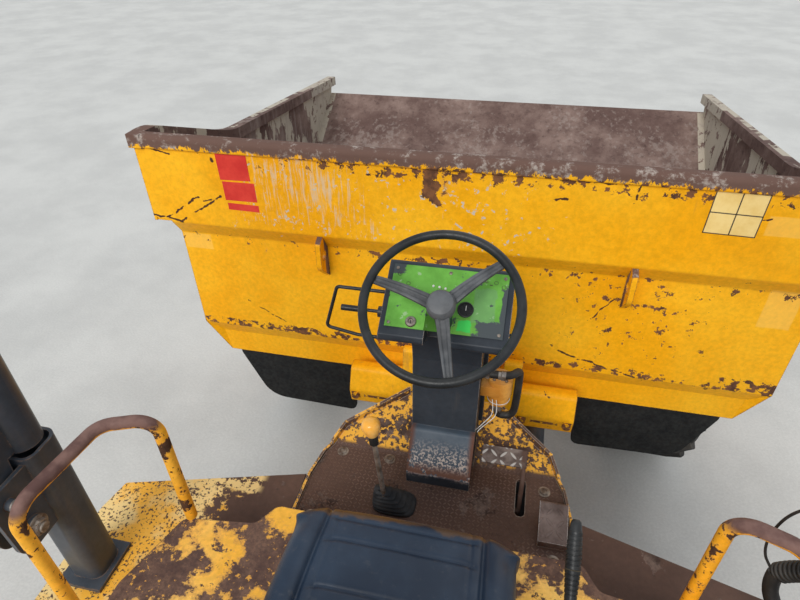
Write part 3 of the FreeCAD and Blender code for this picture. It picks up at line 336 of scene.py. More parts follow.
paintLooks = {
    "skipPaint": dict(plainYellow, flakeScale=6.0, cover=0.10, edge=0.42, runs=0.26, runDepth=0.35),
    "chassisYellow": dict(plainYellow, cover=0.22, edge=0.5, runs=0.4),
    "bonnetYellow": dict(plainYellow, cover=0.06, edge=0.3, runs=0.3, coat=0.1),
    "railYellow": dict(plainYellow, paint=(0.86, 0.36, 0.012), faded=(0.92, 0.47, 0.05), flakeScale=19.0, cover=0.37, rust=(0.045, 0.024, 0.018), rustPale=(0.10, 0.05, 0.03),
                       edge=0.1, reach=0.003),
    "rimPaint": dict(plainYellow, cover=0.2, edge=0.45, runs=0.5),
    "chassisGrey": {"paint": (0.045, 0.052, 0.066), "faded": (0.085, 0.092, 0.105), "rust": rustBrown, "rustPale": rustOrange,
                    "dirt": (0.15, 0.12, 0.10), "halo": (0.12, 0.10, 0.09), "flakeScale": 7.0, "cover": 0.12, "edge": 0.3,
                    "runs": 0.4},
    "consoleGrey": {"paint": (0.022, 0.028, 0.038), "faded": (0.042, 0.050, 0.062), "rust": (0.10, 0.06, 0.045),
                    "rustPale": (0.30, 0.27, 0.25), "dirt": (0.09, 0.08, 0.07), "halo": (0.07, 0.068, 0.066),
                    "flakeScale": 14.0, "cover": 0.14, "edge": 0.55, "runs": 0.25, "reach": 0.004},
    "hoopGrey": {"paint": (0.040, 0.048, 0.062), "faded": (0.072, 0.082, 0.098), "rust": (0.10, 0.055, 0.035),
                 "rustPale": (0.28, 0.2, 0.15), "dirt": (0.11, 0.10, 0.09), "halo": (0.09, 0.08, 0.075), "flakeScale": 5.0,
                 "cover": 0.09, "edge": 0.35, "runs": 0.4, "coat": 0.15},
    "deckYellow": {"paint": (0.90, 0.46, 0.05), "faded": (0.95, 0.58, 0.15), "rust": (0.105, 0.058, 0.046),
                   "rustPale": (0.20, 0.115, 0.08), "dirt": (0.40, 0.21, 0.08), "halo": (0.55, 0.27, 0.08),
                   "flakeScale": 5.5, "cover": 0.46, "edge": 0.5, "runs": 0.1, "gloss": 0.5},
    "rustedPlate": {"paint": (0.085, 0.048, 0.037), "faded": (0.120, 0.070, 0.053), "rust": (0.050, 0.030, 0.025),
                    "rustPale": (0.17, 0.12, 0.10), "dirt": (0.055, 0.036, 0.028), "halo": (0.10, 0.055, 0.040),
                    "flakeScale": 9.0, "cover": 0.3, "edge": 0.6, "runs": 0.1, "gloss": 0.6},
    "axleIron": {"paint": (0.050, 0.054, 0.062), "faded": (0.10, 0.095, 0.09), "rust": rustBrown, "rustPale": rustOrange,
                 "dirt": (0.13, 0.10, 0.08), "halo": (0.10, 0.08, 0.07), "flakeScale": 6.0, "cover": 0.3, "edge": 0.4,
                 "runs": 0.3, "gloss": 0.6},
    "engineIron": {"paint": (0.075, 0.08, 0.085), "faded": (0.13, 0.13, 0.13), "rust": (0.10, 0.06, 0.045),
                   "rustPale": (0.2, 0.14, 0.1), "dirt": (0.05, 0.045, 0.04), "halo": (0.1, 0.09, 0.08),
                   "flakeScale": 9.0, "cover": 0.2, "edge": 0.4, "runs": 0.5},
    "exhaustRust": {"paint": (0.15, 0.085, 0.06), "faded": (0.22, 0.135, 0.10), "rust": (0.075, 0.045, 0.035),
                    "rustPale": (0.33, 0.18, 0.10), "dirt": (0.06, 0.045, 0.04), "halo": (0.18, 0.10, 0.06),
                    "flakeScale": 12.0, "cover": 0.4, "edge": 0.3, "runs": 0.3, "gloss": 0.7},
    "darkSteel": {"paint": (0.028, 0.029, 0.032), "faded": (0.06, 0.06, 0.062), "rust": (0.09, 0.055, 0.04),
                  "rustPale": (0.2, 0.13, 0.09), "dirt": (0.10, 0.085, 0.07), "halo": (0.08, 0.07, 0.06),
                  "flakeScale": 11.0, "cover": 0.16, "edge": 0.4, "runs": 0.2},
}


def platformFlakes(tree, coordinates, colour, bare, rustTone):
    # the left platform keeps cream and yellow flakes, the right one is plain rust
    place = coordinates["Object"]
    axes = put(tree, "SeparateXYZ", {0: place}).outputs
    left = between(tree, axes[0], -0.40, -0.46)
    broad = between(tree, calc(tree, "ADD", axes[0], calc(tree, "MULTIPLY", speckle(tree, place, 9.0, 6.0, 0.7), 0.16)), -0.60, -0.63)
    rimmed = calc(tree, "MULTIPLY", between(tree, axes[0], -0.53, -0.56),
                  between(tree, calc(tree, "ADD", axes[1], calc(tree, "MULTIPLY", speckle(tree, place, 22.0, 6.0, 0.7), 0.07)), -0.375, -0.365))
    outer = effect(tree, "zone", place, Centre=(-0.86, -0.66, 1.27), Half=(0.20, 0.26, 0.1), Ragged=0.9)
    peppered = calc(tree, "MULTIPLY", outer, effect(tree, "flakes", place, Scale=34.0, Cover=0.66))
    flakes = calc(tree, "MULTIPLY", broad, effect(tree, "flakes", place, Scale=26.0, Cover=0.60))
    spots = calc(tree, "SUBTRACT", 1.0, effect(tree, "flakes", place, Scale=125.0, Cover=0.37))
    flakes = calc(tree, "MULTIPLY", calc(tree, "MAXIMUM", flakes, peppered), spots)
    flakes = calc(tree, "MAXIMUM", flakes, calc(tree, "MULTIPLY", rimmed, effect(tree, "flakes", place, Scale=40.0, Cover=0.55)))
    tone = blendOf(tree, between(tree, speckle(tree, place, 5.0, 4.0, 0.6), 0.45, 0.6), rgba((0.86, 0.62, 0.26)),
                   rgba((0.90, 0.46, 0.05)))
    keep = calc(tree, "MULTIPLY", left, flakes)
    return blendOf(tree, keep, colour, tone), calc(tree, "MULTIPLY", bare, calc(tree, "SUBTRACT", 1.0, keep))


def toePlates(tree, coordinates, colour, bare, rustTone):
    # yellow left on the raised toe plates and lips, worn bright on the outer lip
    place = coordinates["Object"]
    axes = put(tree, "SeparateXYZ", {0: place}).outputs
    raised = between(tree, axes[2], 1.2735, 1.279)
    broad = effect(tree, "flakes", place, Scale=11.0, Cover=0.50)
    flakes = calc(tree, "MAXIMUM", calc(tree, "MULTIPLY", broad, effect(tree, "flakes", place, Scale=58.0, Cover=0.56)),
                  effect(tree, "flakes", place, Scale=64.0, Cover=0.36))
    keep = calc(tree, "MULTIPLY", raised, flakes)
    colour = blendOf(tree, keep, colour, rgba((0.84, 0.43, 0.05)))
    bright = calc(tree, "MULTIPLY", effect(tree, "edgeWear", place, Reach=0.004, Amount=0.8), 0.7)
    colour = blendOf(tree, bright, colour, rgba((0.52, 0.45, 0.38)))
    lozenges = calc(tree, "MULTIPLY", effect(tree, "tread", place, Pitch=0.0135), calc(tree, "SUBTRACT", 1.0, raised))
    worn = calc(tree, "MULTIPLY", lozenges, between(tree, speckle(tree, place, 6.0, 4.0), 0.35, 0.65, 0.10, 0.60))
    colour = blendOf(tree, worn, colour, rgba((0.25, 0.165, 0.13)))
    return colour, calc(tree, "MULTIPLY", bare, calc(tree, "SUBTRACT", 1.0, keep)), lozenges


def rustyRun(tree, coordinates, colour, bare, rustTone):
    # hands have worn the top of the handle to smooth brown metal
    axes = put(tree, "SeparateXYZ", {0: coordinates["Object"]}).outputs
    up = put(tree, "SeparateXYZ", {0: coordinates["Normal"]}).outputs[2]
    rag = calc(tree, "MULTIPLY", calc(tree, "SUBTRACT", speckle(tree, coordinates["Object"], 26.0, 6.0, 0.7), 0.5), 1.2)
    worn = calc(tree, "MULTIPLY", between(tree, calc(tree, "ADD", up, rag), -0.32, -0.18), between(tree, axes[2], 1.755, 1.785))
    tone = blendOf(tree, between(tree, speckle(tree, coordinates["Object"], 18.0), 0.35, 0.65), rgba((0.115, 0.062, 0.055)),
                   rgba((0.215, 0.125, 0.105)))
    return blendOf(tree, worn, colour, tone), calc(tree, "MAXIMUM", bare, calc(tree, "MULTIPLY", worn, 0.4))


def bellyRust(tree, coordinates, colour, bare, rustTone):
    # the load has scoured the inside of the belly to brown metal
    inside, axes = insideMask(tree, coordinates, (0.0, 0.98, 1.245), 0.505)
    within = calc(tree, "MULTIPLY", between(tree, axes[2], 0.990, 0.994), between(tree, calc(tree, "ABSOLUTE", axes[0]), 0.686, 0.682))
    inside = calc(tree, "MULTIPLY", inside, within)
    rust = blendOf(tree, between(tree, speckle(tree, coordinates["Object"], 5.0, 6.0, 0.68), 0.38, 0.66), rgba((0.10, 0.056, 0.046)),
                   rgba((0.22, 0.135, 0.105)))
    return blendOf(tree, inside, colour, rust), calc(tree, "MAXIMUM", bare, inside)


def headWear(tree, coordinates, colour, bare, rustTone):
    # rust round the bolts of the cross head and along the slot between them
    axes = put(tree, "SeparateXYZ", {0: coordinates["Object"]}).outputs
    folded = put(tree, "CombineXYZ", {0: calc(tree, "ABSOLUTE", axes[0]), 1: axes[1], 2: axes[2]}).outputs[0]
    rusty = effect(tree, "zone", folded, Centre=(0.35, 0.30, 1.037), Half=(0.058, 0.03, 0.009), Ragged=0.12)
    for x in (0.26, 0.44):
        rusty = calc(tree, "MAXIMUM", rusty, effect(tree, "zone", folded, Centre=(x, 0.29, 1.04), Half=(0.019, 0.02, 0.019), Ragged=0.2))
    rusty = calc(tree, "MULTIPLY", rusty, effect(tree, "flakes", folded, Scale=60.0, Cover=0.62))
    return blendOf(tree, rusty, colour, rustTone), calc(tree, "MAXIMUM", bare, rusty)


def pedalWear(tree, coordinates, colour, bare, rustTone):
    # bright chequer pads, brown arms
    place = coordinates["Object"]
    pad = effect(tree, "zone", place, Centre=(0.185, -0.168, 1.36), Half=(0.071, 0.034, 0.02), Ragged=0.1)
    throttle = effect(tree, "zone", place, Centre=(0.355, -0.342, 1.31), Half=(0.045, 0.062, 0.05), Ragged=0.1)
    lozenges = effect(tree, "tread", place, Pitch=0.030)
    bright = blendOf(tree, between(tree, speckle(tree, place, 18.0, 6.0, 0.7), 0.35, 0.66), rgba((0.085, 0.058, 0.050)), rgba((0.22, 0.175, 0.155)))
    bright = blendOf(tree, lozenges, bright, rgba((0.50, 0.47, 0.44)))
    dull = blendOf(tree, between(tree, speckle(tree, place, 14.0, 6.0, 0.7), 0.35, 0.66), rgba((0.10, 0.070, 0.062)), rgba((0.20, 0.15, 0.135)))
    edge = effect(tree, "edgeWear", place, Reach=0.003, Amount=1.0)
    dull = blendOf(tree, edge, dull, rgba((0.62, 0.60, 0.58)))
    colour = blendOf(tree, pad, colour, bright)
    return blendOf(tree, throttle, colour, dull), calc(tree, "MULTIPLY", bare, 0.4), calc(tree, "MULTIPLY", lozenges, calc(tree, "MAXIMUM", pad, throttle))


def footWear(tree, coordinates, colour, bare, rustTone):
    # the cover ahead of the feet: slate blue, speckled pale and rusty towards its worn front edge
    place = coordinates["Object"]
    axes = put(tree, "SeparateXYZ", {0: place}).outputs
    cover = effect(tree, "zone", place, Centre=(0.0, -0.205, 1.365), Half=(0.112, 0.054, 0.068), Ragged=0.05)
    slate = blendOf(tree, between(tree, speckle(tree, place, 12.0), 0.35, 0.65), rgba((0.060, 0.085, 0.115)), rgba((0.095, 0.120, 0.150)))
    colour = blendOf(tree, calc(tree, "MULTIPLY", cover, 0.85), colour, slate)
    front = between(tree, axes[1], -0.185, -0.235)
    pale = calc(tree, "MULTIPLY", calc(tree, "MULTIPLY", front, cover), effect(tree, "flakes", place, Scale=150.0, Cover=0.47))
    colour = blendOf(tree, pale, colour, rgba((0.52, 0.44, 0.39)))
    rusty = calc(tree, "MULTIPLY", cover, calc(tree, "MAXIMUM", between(tree, calc(tree, "ABSOLUTE", axes[0]), 0.078, 0.098),
                                               between(tree, axes[1], -0.228, -0.252)))
    rusty = calc(tree, "MULTIPLY", rusty, effect(tree, "flakes", place, Scale=30.0, Cover=0.60))
    colour = blendOf(tree, rusty, colour, rgba((0.14, 0.065, 0.045)))
    return colour, calc(tree, "MAXIMUM", bare, calc(tree, "MAXIMUM", pale, rusty))


def deckGrain(tree, coordinates, colour, bare, rustTone):
    # the bare deck is grainy, with small crumbs of paint left along the flakes
    place = coordinates["Object"]
    grain = between(tree, speckle(tree, place, 120.0, 4.0, 0.7), 0.36, 0.66)
    colour = blendOf(tree, calc(tree, "MULTIPLY", calc(tree, "MULTIPLY", bare, grain), 0.55), colour, rgba((0.050, 0.034, 0.034)))
    crumbs = calc(tree, "MULTIPLY", effect(tree, "flakes", place, Scale=70.0, Cover=0.32), effect(tree, "flakes", place, Scale=8.0, Cover=0.55))
    colour = blendOf(tree, calc(tree, "MULTIPLY", crumbs, 0.85), colour, rgba((0.80, 0.40, 0.07)))
    return colour, calc(tree, "MULTIPLY", bare, calc(tree, "SUBTRACT", 1.0, crumbs))


paintExtras = {"deckYellow": deckGrain, "skipPaint": skipMarks, "rustedPlate": toePlates, "consoleGrey": footWear, "railYellow": rustyRun}
finishes = {name: wornPaint(name, look, paintExtras.get(name)) for name, look in paintLooks.items()}
finishes["platformRust"] = wornPaint("platformRust", paintLooks["rustedPlate"], platformFlakes)
finishes["headYellow"] = wornPaint("headYellow", paintLooks["chassisYellow"], headWear)
finishes["bellyYellow"] = wornPaint("bellyYellow", paintLooks["chassisYellow"], bellyRust)
finishes["pedalSteel"] = wornPaint("pedalSteel", paintLooks["rustedPlate"], pedalWear)


def plainStuff(name, dark, light, scale, rough, bumpScale, bump, metal=0.0, coat=0.0, dust=0.0, dustTone=(0.3, 0.27, 0.23)):
    # rubber, plastic, bare metal: two tones, a fine surface and dust on what faces up
    material, tree, shader, coordinates = newFinish(name, rough, metal, coat)
    place = coordinates["Object"]
    colour = blendOf(tree, between(tree, speckle(tree, place, scale, 5.0, 0.65), 0.35, 0.66), rgba(dark), rgba(light))
    if dust:
        up = put(tree, "SeparateXYZ", {0: coordinates["Normal"]}).outputs[2]
        lying = calc(tree, "MULTIPLY", between(tree, up, 0.1, 1.0, 0.25, 1.0), between(tree, speckle(tree, place, 9.0), 0.3, 0.7))
        colour = blendOf(tree, calc(tree, "MULTIPLY", lying, dust), colour, rgba(dustTone))
    tree.links.new(colour, shader.inputs["Base Color"])
    surface = speckle(tree, place, bumpScale, 3.0, 0.6)
    tree.links.new(between(tree, surface, 0.25, 0.75, rough - 0.08, rough + 0.1), shader.inputs["Roughness"])
    setBump(tree, shader, surface, bump, 0.001)
    return material


stuffs = {
    "tyreRubber": ((0.012, 0.012, 0.013), (0.030, 0.029, 0.028), 6.0, 0.8, 90.0, 0.4, 0.0, 0.0, 0.35),
    "flapRubber": ((0.004, 0.004, 0.005), (0.014, 0.015, 0.015), 55.0, 0.6, 70.0, 0.9, 0.0, 0.0, 0.10),
    "gripBlack": ((0.010, 0.012, 0.014), (0.024, 0.027, 0.030), 12.0, 0.38, 160.0, 0.25, 0.0, 0.0, 0.06),
    "spokeGrey": ((0.050, 0.054, 0.060), (0.115, 0.120, 0.128), 14.0, 0.5, 140.0, 0.25, 0.0, 0.0, 0.1),
    "bootRubber": ((0.010, 0.012, 0.016), (0.024, 0.027, 0.032), 18.0, 0.5, 120.0, 0.2, 0.0, 0.0, 0.06),
    "hoseRubber": ((0.010, 0.010, 0.011), (0.026, 0.025, 0.025), 20.0, 0.55, 150.0, 0.3, 0.0, 0.0, 0.2),
    "chromeRod": ((0.62, 0.62, 0.64), (0.78, 0.78, 0.80), 12.0, 0.16, 200.0, 0.02, 1.0),
    "ramPaint": ((0.040, 0.046, 0.058), (0.075, 0.08, 0.09), 8.0, 0.45, 110.0, 0.2, 0.0, 0.0, 0.3),
    "wornSteel": ((0.16, 0.13, 0.11), (0.42, 0.39, 0.36), 24.0, 0.45, 120.0, 0.3, 0.7),
    "boltSteel": ((0.12, 0.085, 0.065), (0.34, 0.30, 0.26), 40.0, 0.5, 120.0, 0.3, 0.5),
    "tieWhite": ((0.62, 0.61, 0.58), (0.75, 0.74, 0.71), 20.0, 0.5, 90.0, 0.1),
    "noticeRed": ((0.62, 0.030, 0.022), (0.74, 0.055, 0.035), 14.0, 0.45, 90.0, 0.08),
    "labelPale": ((0.84, 0.58, 0.19), (0.92, 0.68, 0.27), 14.0, 0.45, 90.0, 0.08),
    "labelLine": ((0.05, 0.04, 0.03), (0.08, 0.07, 0.05), 14.0, 0.5, 90.0, 0.05),
    "gaugeFace": ((0.015, 0.015, 0.016), (0.03, 0.03, 0.03), 14.0, 0.3, 90.0, 0.05),
    "unitOrange": ((0.55, 0.22, 0.03), (0.75, 0.36, 0.06), 18.0, 0.5, 90.0, 0.2, 0.0, 0.0, 0.3),
}
for name, values in stuffs.items():
    finishes[name] = plainStuff(name, *values)


def makeVinyl():
    # seat vinyl: near black with a blue tint that is a painted sky sheen, glossy, a fine leather grain and a little
    # dust in the folds
    material, tree, shader, coordinates = newFinish("seatVinyl", 0.36, 0.0, 0.0, 0.35)
    place = coordinates["Object"]
    tone = between(tree, speckle(tree, place, 7.0, 5.0, 0.6), 0.35, 0.68)
    # near-black vinyl; the blue in both tones is painted sheen
    colour = blendOf(tree, tone, rgba((0.013, 0.024, 0.046)), rgba((0.023, 0.040, 0.070)))
    dust = calc(tree, "MULTIPLY", between(tree, speckle(tree, place, 42.0, 6.0, 0.75), 0.56, 0.74), 0.16)
    colour = blendOf(tree, dust, colour, rgba((0.22, 0.2, 0.18)))
    # the front roll is rubbed brown
    axes = put(tree, "SeparateXYZ", {0: place}).outputs
    ragged = calc(tree, "ADD", axes[1], calc(tree, "MULTIPLY", calc(tree, "SUBTRACT", speckle(tree, place, 14.0, 6.0, 0.7), 0.5), 0.05))
    colour = blendOf(tree, calc(tree, "MULTIPLY", between(tree, ragged, -0.6680, -0.6590), 0.8), colour, rgba((0.105, 0.056, 0.026)))
    tree.links.new(colour, shader.inputs["Base Color"])
    cells = put(tree, "TexVoronoi", {"Vector": place, "Scale": 420.0}, feature="DISTANCE_TO_EDGE").outputs["Distance"]
    grain = calc(tree, "ADD", between(tree, cells, 0.0, 0.12), calc(tree, "MULTIPLY", speckle(tree, place, 60.0), 0.8))
    tree.links.new(between(tree, speckle(tree, place, 12.0, 5.0, 0.7), 0.3, 0.7, 0.27, 0.44), shader.inputs["Roughness"])
    setBump(tree, shader, grain, 0.22, 0.0006)
    return material


def makePiping():
    return plainStuff("seatPiping", (0.075, 0.05, 0.035), (0.13, 0.095, 0.07), 30.0, 0.5, 200.0, 0.2)


def makeDashGreen():
    # the bright green panel, worn through to dark metal in broad patches
    material, tree, shader, coordinates = newFinish("dashGreen", 0.45)
    place = coordinates["Object"]
    green = blendOf(tree, between(tree, speckle(tree, place, 16.0), 0.35, 0.65), rgba((0.105, 0.31, 0.040)), rgba((0.150, 0.42, 0.062)))
    lost = effect(tree, "flakes", place, Scale=24.0, Cover=0.24)
    for centre, half in (((0.130, -0.262, 1.91), (0.052, 0.026, 0.05)), ((-0.150, -0.136, 2.0), (0.034, 0.020, 0.05)),
                         ((0.150, -0.20, 1.95), (0.012, 0.05, 0.05))):
        lost = calc(tree, "MAXIMUM", lost, effect(tree, "zone", place, Centre=centre, Half=half, Ragged=0.55))
    fresh = effect(tree, "zone", place, Centre=(0.050, -0.252, 1.92), Half=(0.018, 0.012, 0.03), Ragged=0.5)
    green = blendOf(tree, calc(tree, "MULTIPLY", fresh, 0.8), green, rgba((0.03, 0.62, 0.10)))
    smoky = effect(tree, "zone", place, Centre=(0.095, -0.205, 1.95), Half=(0.030, 0.040, 0.05), Ragged=0.3)
    green = blendOf(tree, calc(tree, "MULTIPLY", smoky, 0.45), green, rgba((0.16, 0.30, 0.16)))
    pale = effect(tree, "flakes", place, Scale=44.0, Cover=0.22)
    green = blendOf(tree, calc(tree, "MULTIPLY", pale, 0.6), green, rgba((0.36, 0.50, 0.30)))
    tree.links.new(blendOf(tree, lost, green, rgba((0.060, 0.072, 0.078))), shader.inputs["Base Color"])
    setBump(tree, shader, lost, 0.4, -0.0006)
    return material


def makeKnobYellow():
    material, tree, shader, coordinates = newFinish("knobYellow", 0.3, 0.0, 0.2)
    place = coordinates["Object"]
    colour = blendOf(tree, between(tree, speckle(tree, place, 30.0), 0.35, 0.7), rgba((0.90, 0.42, 0.06)), rgba((0.95, 0.58, 0.18)))
    grime = effect(tree, "flakes", place, Scale=60.0, Cover=0.24)
    tree.links.new(blendOf(tree, calc(tree, "MULTIPLY", grime, 0.5), colour, rgba((0.28, 0.14, 0.05))), shader.inputs["Base Color"])
    setBump(tree, shader, grime, 0.15, 0.0006)
    return material


def makeLens():
    material, tree, shader, coordinates = newFinish("lensRed", 0.14, 0.0, 0.5)
    wave = put(tree, "TexWave", {"Vector": coordinates["Object"], "Scale": 26.0}, bands_direction="X").outputs["Fac"]
    colour = blendOf(tree, between(tree, speckle(tree, coordinates["Object"], 8.0), 0.3, 0.7), rgba((0.42, 0.012, 0.01)),
                     rgba((0.60, 0.03, 0.02)))
    tree.links.new(colour, shader.inputs["Base Color"])
    setBump(tree, shader, wave, 0.5, 0.001)
    return material


finishes["seatVinyl"] = makeVinyl()
finishes["seatPiping"] = makePiping()
finishes["dashGreen"] = makeDashGreen()
finishes["knobYellow"] = makeKnobYellow()
finishes["lensRed"] = makeLens()
print("finishes made:", len(finishes))

# which finish each CAD node takes
nodeFinish = {
    "skip": "skipPaint", "skip_underframe": "bellyYellow", "mudflaps": "flapRubber", "front_frame": "headYellow",
    "front_axle": "axleIron", "rear_axle": "axleIron", "centre_block": "chassisGrey", "rear_frame": "chassisGrey",
    "tip_barrel_right": "ramPaint", "tip_barrel_left": "ramPaint", "tip_rod_right": "chromeRod",
    "tip_rod_left": "chromeRod", "steer_barrel": "ramPaint", "steer_rod": "chromeRod", "counterweight": "chassisGrey",
    "rear_lamps": "lensRed", "floor_plate": "rustedPlate", "platforms": "platformRust", "seat_deck": "deckYellow",
    "engine": "engineIron", "exhaust": "exhaustRust", "bonnet": "bonnetYellow", "tanks": "chassisGrey",
    "steps": "darkSteel", "column": "consoleGrey", "dash": "consoleGrey", "dash_controls": "gripBlack",
    "steering_unit": "hoseRubber", "steering_wheel": "gripBlack", "handles": "railYellow", "rops_sockets": "hoopGrey",
    "rops_hoop": "hoopGrey", "seat_base": "bootRubber", "seat_cushion": "seatVinyl", "seat_back": "seatVinyl",
    "levers": "wornSteel", "pedals": "pedalSteel",
}
for end in ("front", "rear"):
    for hand in ("right", "left"):
        nodeFinish[f"tyre_{end}_{hand}"] = "tyreRubber"
        nodeFinish[f"rim_{end}_{hand}"] = "rimPaint"
for name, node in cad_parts.items():
    node.data.materials.clear()
    node.data.materials.append(finishes[nodeFinish[name]])
print("CAD nodes finished")

# floor and light
ground = {"half": 40.0, "pale": (0.60, 0.60, 0.58), "darker": (0.52, 0.52, 0.505)}
bpy.ops.mesh.primitive_plane_add(size=2 * ground["half"], location=(0, 0, 0))
floorObject = bpy.context.object
floorObject.name = "concreteFloor"
material, tree, shader, coordinates = newFinish("concrete", 0.85)
tone = between(tree, speckle(tree, coordinates["Object"], 1.1, 8.0, 0.65), 0.35, 0.66)
grit = between(tree, speckle(tree, coordinates["Object"], 70.0, 4.0, 0.7), 0.3, 0.75, 0.92, 1.06)
colour = blendOf(tree, tone, rgba(ground["darker"]), rgba(ground["pale"]))
tree.links.new(put(tree, "HueSaturation", {"Color": colour, "Value": grit}).outputs[0], shader.inputs["Base Color"])
floorObject.data.materials.append(material)

sky = {"colour": (0.90, 0.95, 1.0), "level": 0.64}
suns = {"key": ((52, -16, 0), 2.2, 30), "fill": ((-48, 24, 0), 0.55, 60)}
world = bpy.data.worlds.new("openSky")
world.use_nodes = True
world.node_tree.nodes["Background"].inputs[0].default_value = rgba(sky["colour"])
world.node_tree.nodes["Background"].inputs[1].default_value = sky["level"]
scene.world = world
for name, (turns, strength, spread) in suns.items():
    bpy.ops.object.light_add(type="SUN", rotation=[math.radians(turn) for turn in turns])
    sun = bpy.context.object
    sun.name = name
    sun.data.energy = strength
    sun.data.angle = math.radians(spread)
    sun.data.color = (1.0, 0.98, 0.95)
print("floor and light set")


# modelling helpers

def startEdit(piece, mode="FACE"):
    bpy.ops.object.mode_set(mode="EDIT")
    bpy.ops.mesh.select_mode(type=mode)
    bpy.ops.mesh.select_all(action="DESELECT")
    return bmesh.from_edit_mesh(piece.data)


def pick(piece, test, kind="faces"):
    # select the faces, edges or vertices whose middle, and normal for faces, pass the test
    mesh = bmesh.from_edit_mesh(piece.data)
    bpy.ops.mesh.select_all(action="DESELECT")
    for item in getattr(mesh, kind):
        if kind == "faces":
            item.select_set(bool(test(item.calc_center_median(), item.normal)))
        elif kind == "edges":
            item.select_set(bool(test((item.verts[0].co + item.verts[1].co) / 2)))
        else:
            item.select_set(bool(test(item.co)))
    bmesh.update_edit_mesh(piece.data)


def endEdit():
    bpy.ops.object.mode_set(mode="OBJECT")


def only(piece):
    bpy.ops.object.select_all(action="DESELECT")
    piece.select_set(True)
    bpy.context.view_layer.objects.active = piece


def settle(piece):
    only(piece)
    bpy.ops.object.transform_apply(location=True, rotation=True, scale=True)
    return piece


def modify(piece, kind, **values):
    only(piece)
    step = piece.modifiers.new(kind.lower(), kind)
    for key, value in values.items():
        setattr(step, key, value)
    bpy.ops.object.modifier_apply(modifier=step.name)
    return piece


def rounded(piece, width, segments=2, angle=35):
    return modify(piece, "BEVEL", width=width, segments=segments, limit_method="ANGLE", angle_limit=math.radians(angle))


def block(size, place, width=0.002, segments=2):
    bpy.ops.mesh.primitive_cube_add(size=1, location=place)
    piece = bpy.context.object
    piece.scale = size
    settle(piece)
    return rounded(piece, width, segments) if width else piece


def turned(profile, sides=32, closed=True):
    # rings of radius and height, each extruded from the last and scaled
    (r, z), rest = profile[0], profile[1:]
    bpy.ops.mesh.primitive_circle_add(vertices=sides, radius=r, location=(0, 0, z), fill_type="NGON" if closed else "NOTHING")
    piece = settle(bpy.context.object)
    bpy.ops.object.mode_set(mode="EDIT")
    bpy.ops.mesh.select_all(action="SELECT")
    for radius, height in rest:
        bpy.ops.mesh.extrude_region_move(TRANSFORM_OT_translate={"value": (0, 0, height - z)})
        if abs(radius - r) > 1e-9:
            bpy.ops.transform.resize(value=(radius / r, radius / r, 1), center_override=(0, 0, height))
        r, z = radius, height
    bpy.ops.mesh.select_all(action="SELECT")
    bpy.ops.mesh.normals_make_consistent(inside=False)
    endEdit()
    return piece


def tube(points, radius, bend=None, sides=10, name="tube"):
    # a round bar, hose or wire along a smooth line through its points
    curve = bpy.data.curves.new(name, "CURVE")
    curve.dimensions = "3D"
    curve.bevel_depth = radius
    curve.bevel_resolution = max(1, sides // 4)
    curve.use_fill_caps = True
    spline = curve.splines.new("NURBS")
    spline.points.add(len(points) - 1)
    for spot, point in zip(spline.points, points):
        spot.co = (*point, 1.0)
    spline.order_u = 3
    spline.use_endpoint_u = True
    spline.resolution_u = 10
    piece = bpy.data.objects.new(name, curve)
    scene.collection.objects.link(piece)
    only(piece)
    bpy.ops.object.convert(target="MESH")
    return bpy.context.object


def copyOf(piece, matrix):
    twin = piece.copy()
    twin.data = piece.data.copy()
    scene.collection.objects.link(twin)
    twin.data.transform(matrix)
    return twin


def joined(pieces):
    bpy.ops.object.select_all(action="DESELECT")
    for piece in pieces:
        piece.select_set(True)
    bpy.context.view_layer.objects.active = pieces[0]
    if len(pieces) > 1:
        bpy.ops.object.join()
    return bpy.context.object


def facing(direction):
    # turns +Z to a direction
    return Vector(direction).to_track_quat("Z", "Y").to_matrix().to_4x4()


def finished(piece, name, body, finish, replaced=(), angle=35):
    settle(piece)
    bpy.ops.object.shade_smooth_by_angle(angle=math.radians(angle))
    piece.name = piece.data.name = name
    piece.data.materials.clear()
    piece.data.materials.append(finishes[finish])
    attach(piece, body)
    if replaced:
        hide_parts(*replaced)
    bpy.ops.object.select_all(action="DESELECT")
    return piece


def turnedInward(piece):
    only(piece)
    bpy.ops.object.mode_set(mode="EDIT")
    bpy.ops.mesh.select_all(action="SELECT")
    bpy.ops.mesh.remove_doubles(threshold=0.00001)
    bpy.ops.mesh.normals_make_consistent(inside=False)
    endEdit()
    return piece


# tyres: carcass and bars of tread
tyreLook = {"radius": 0.585, "treadRadius": 0.551, "half": 0.235, "rim": 0.2905, "bars": 20, "barWidth": 0.040,
            "barLean": 40.0, "trackHalf": 0.985, "frontY": 1.41, "rearY": -1.36, "axleZ": 0.585}


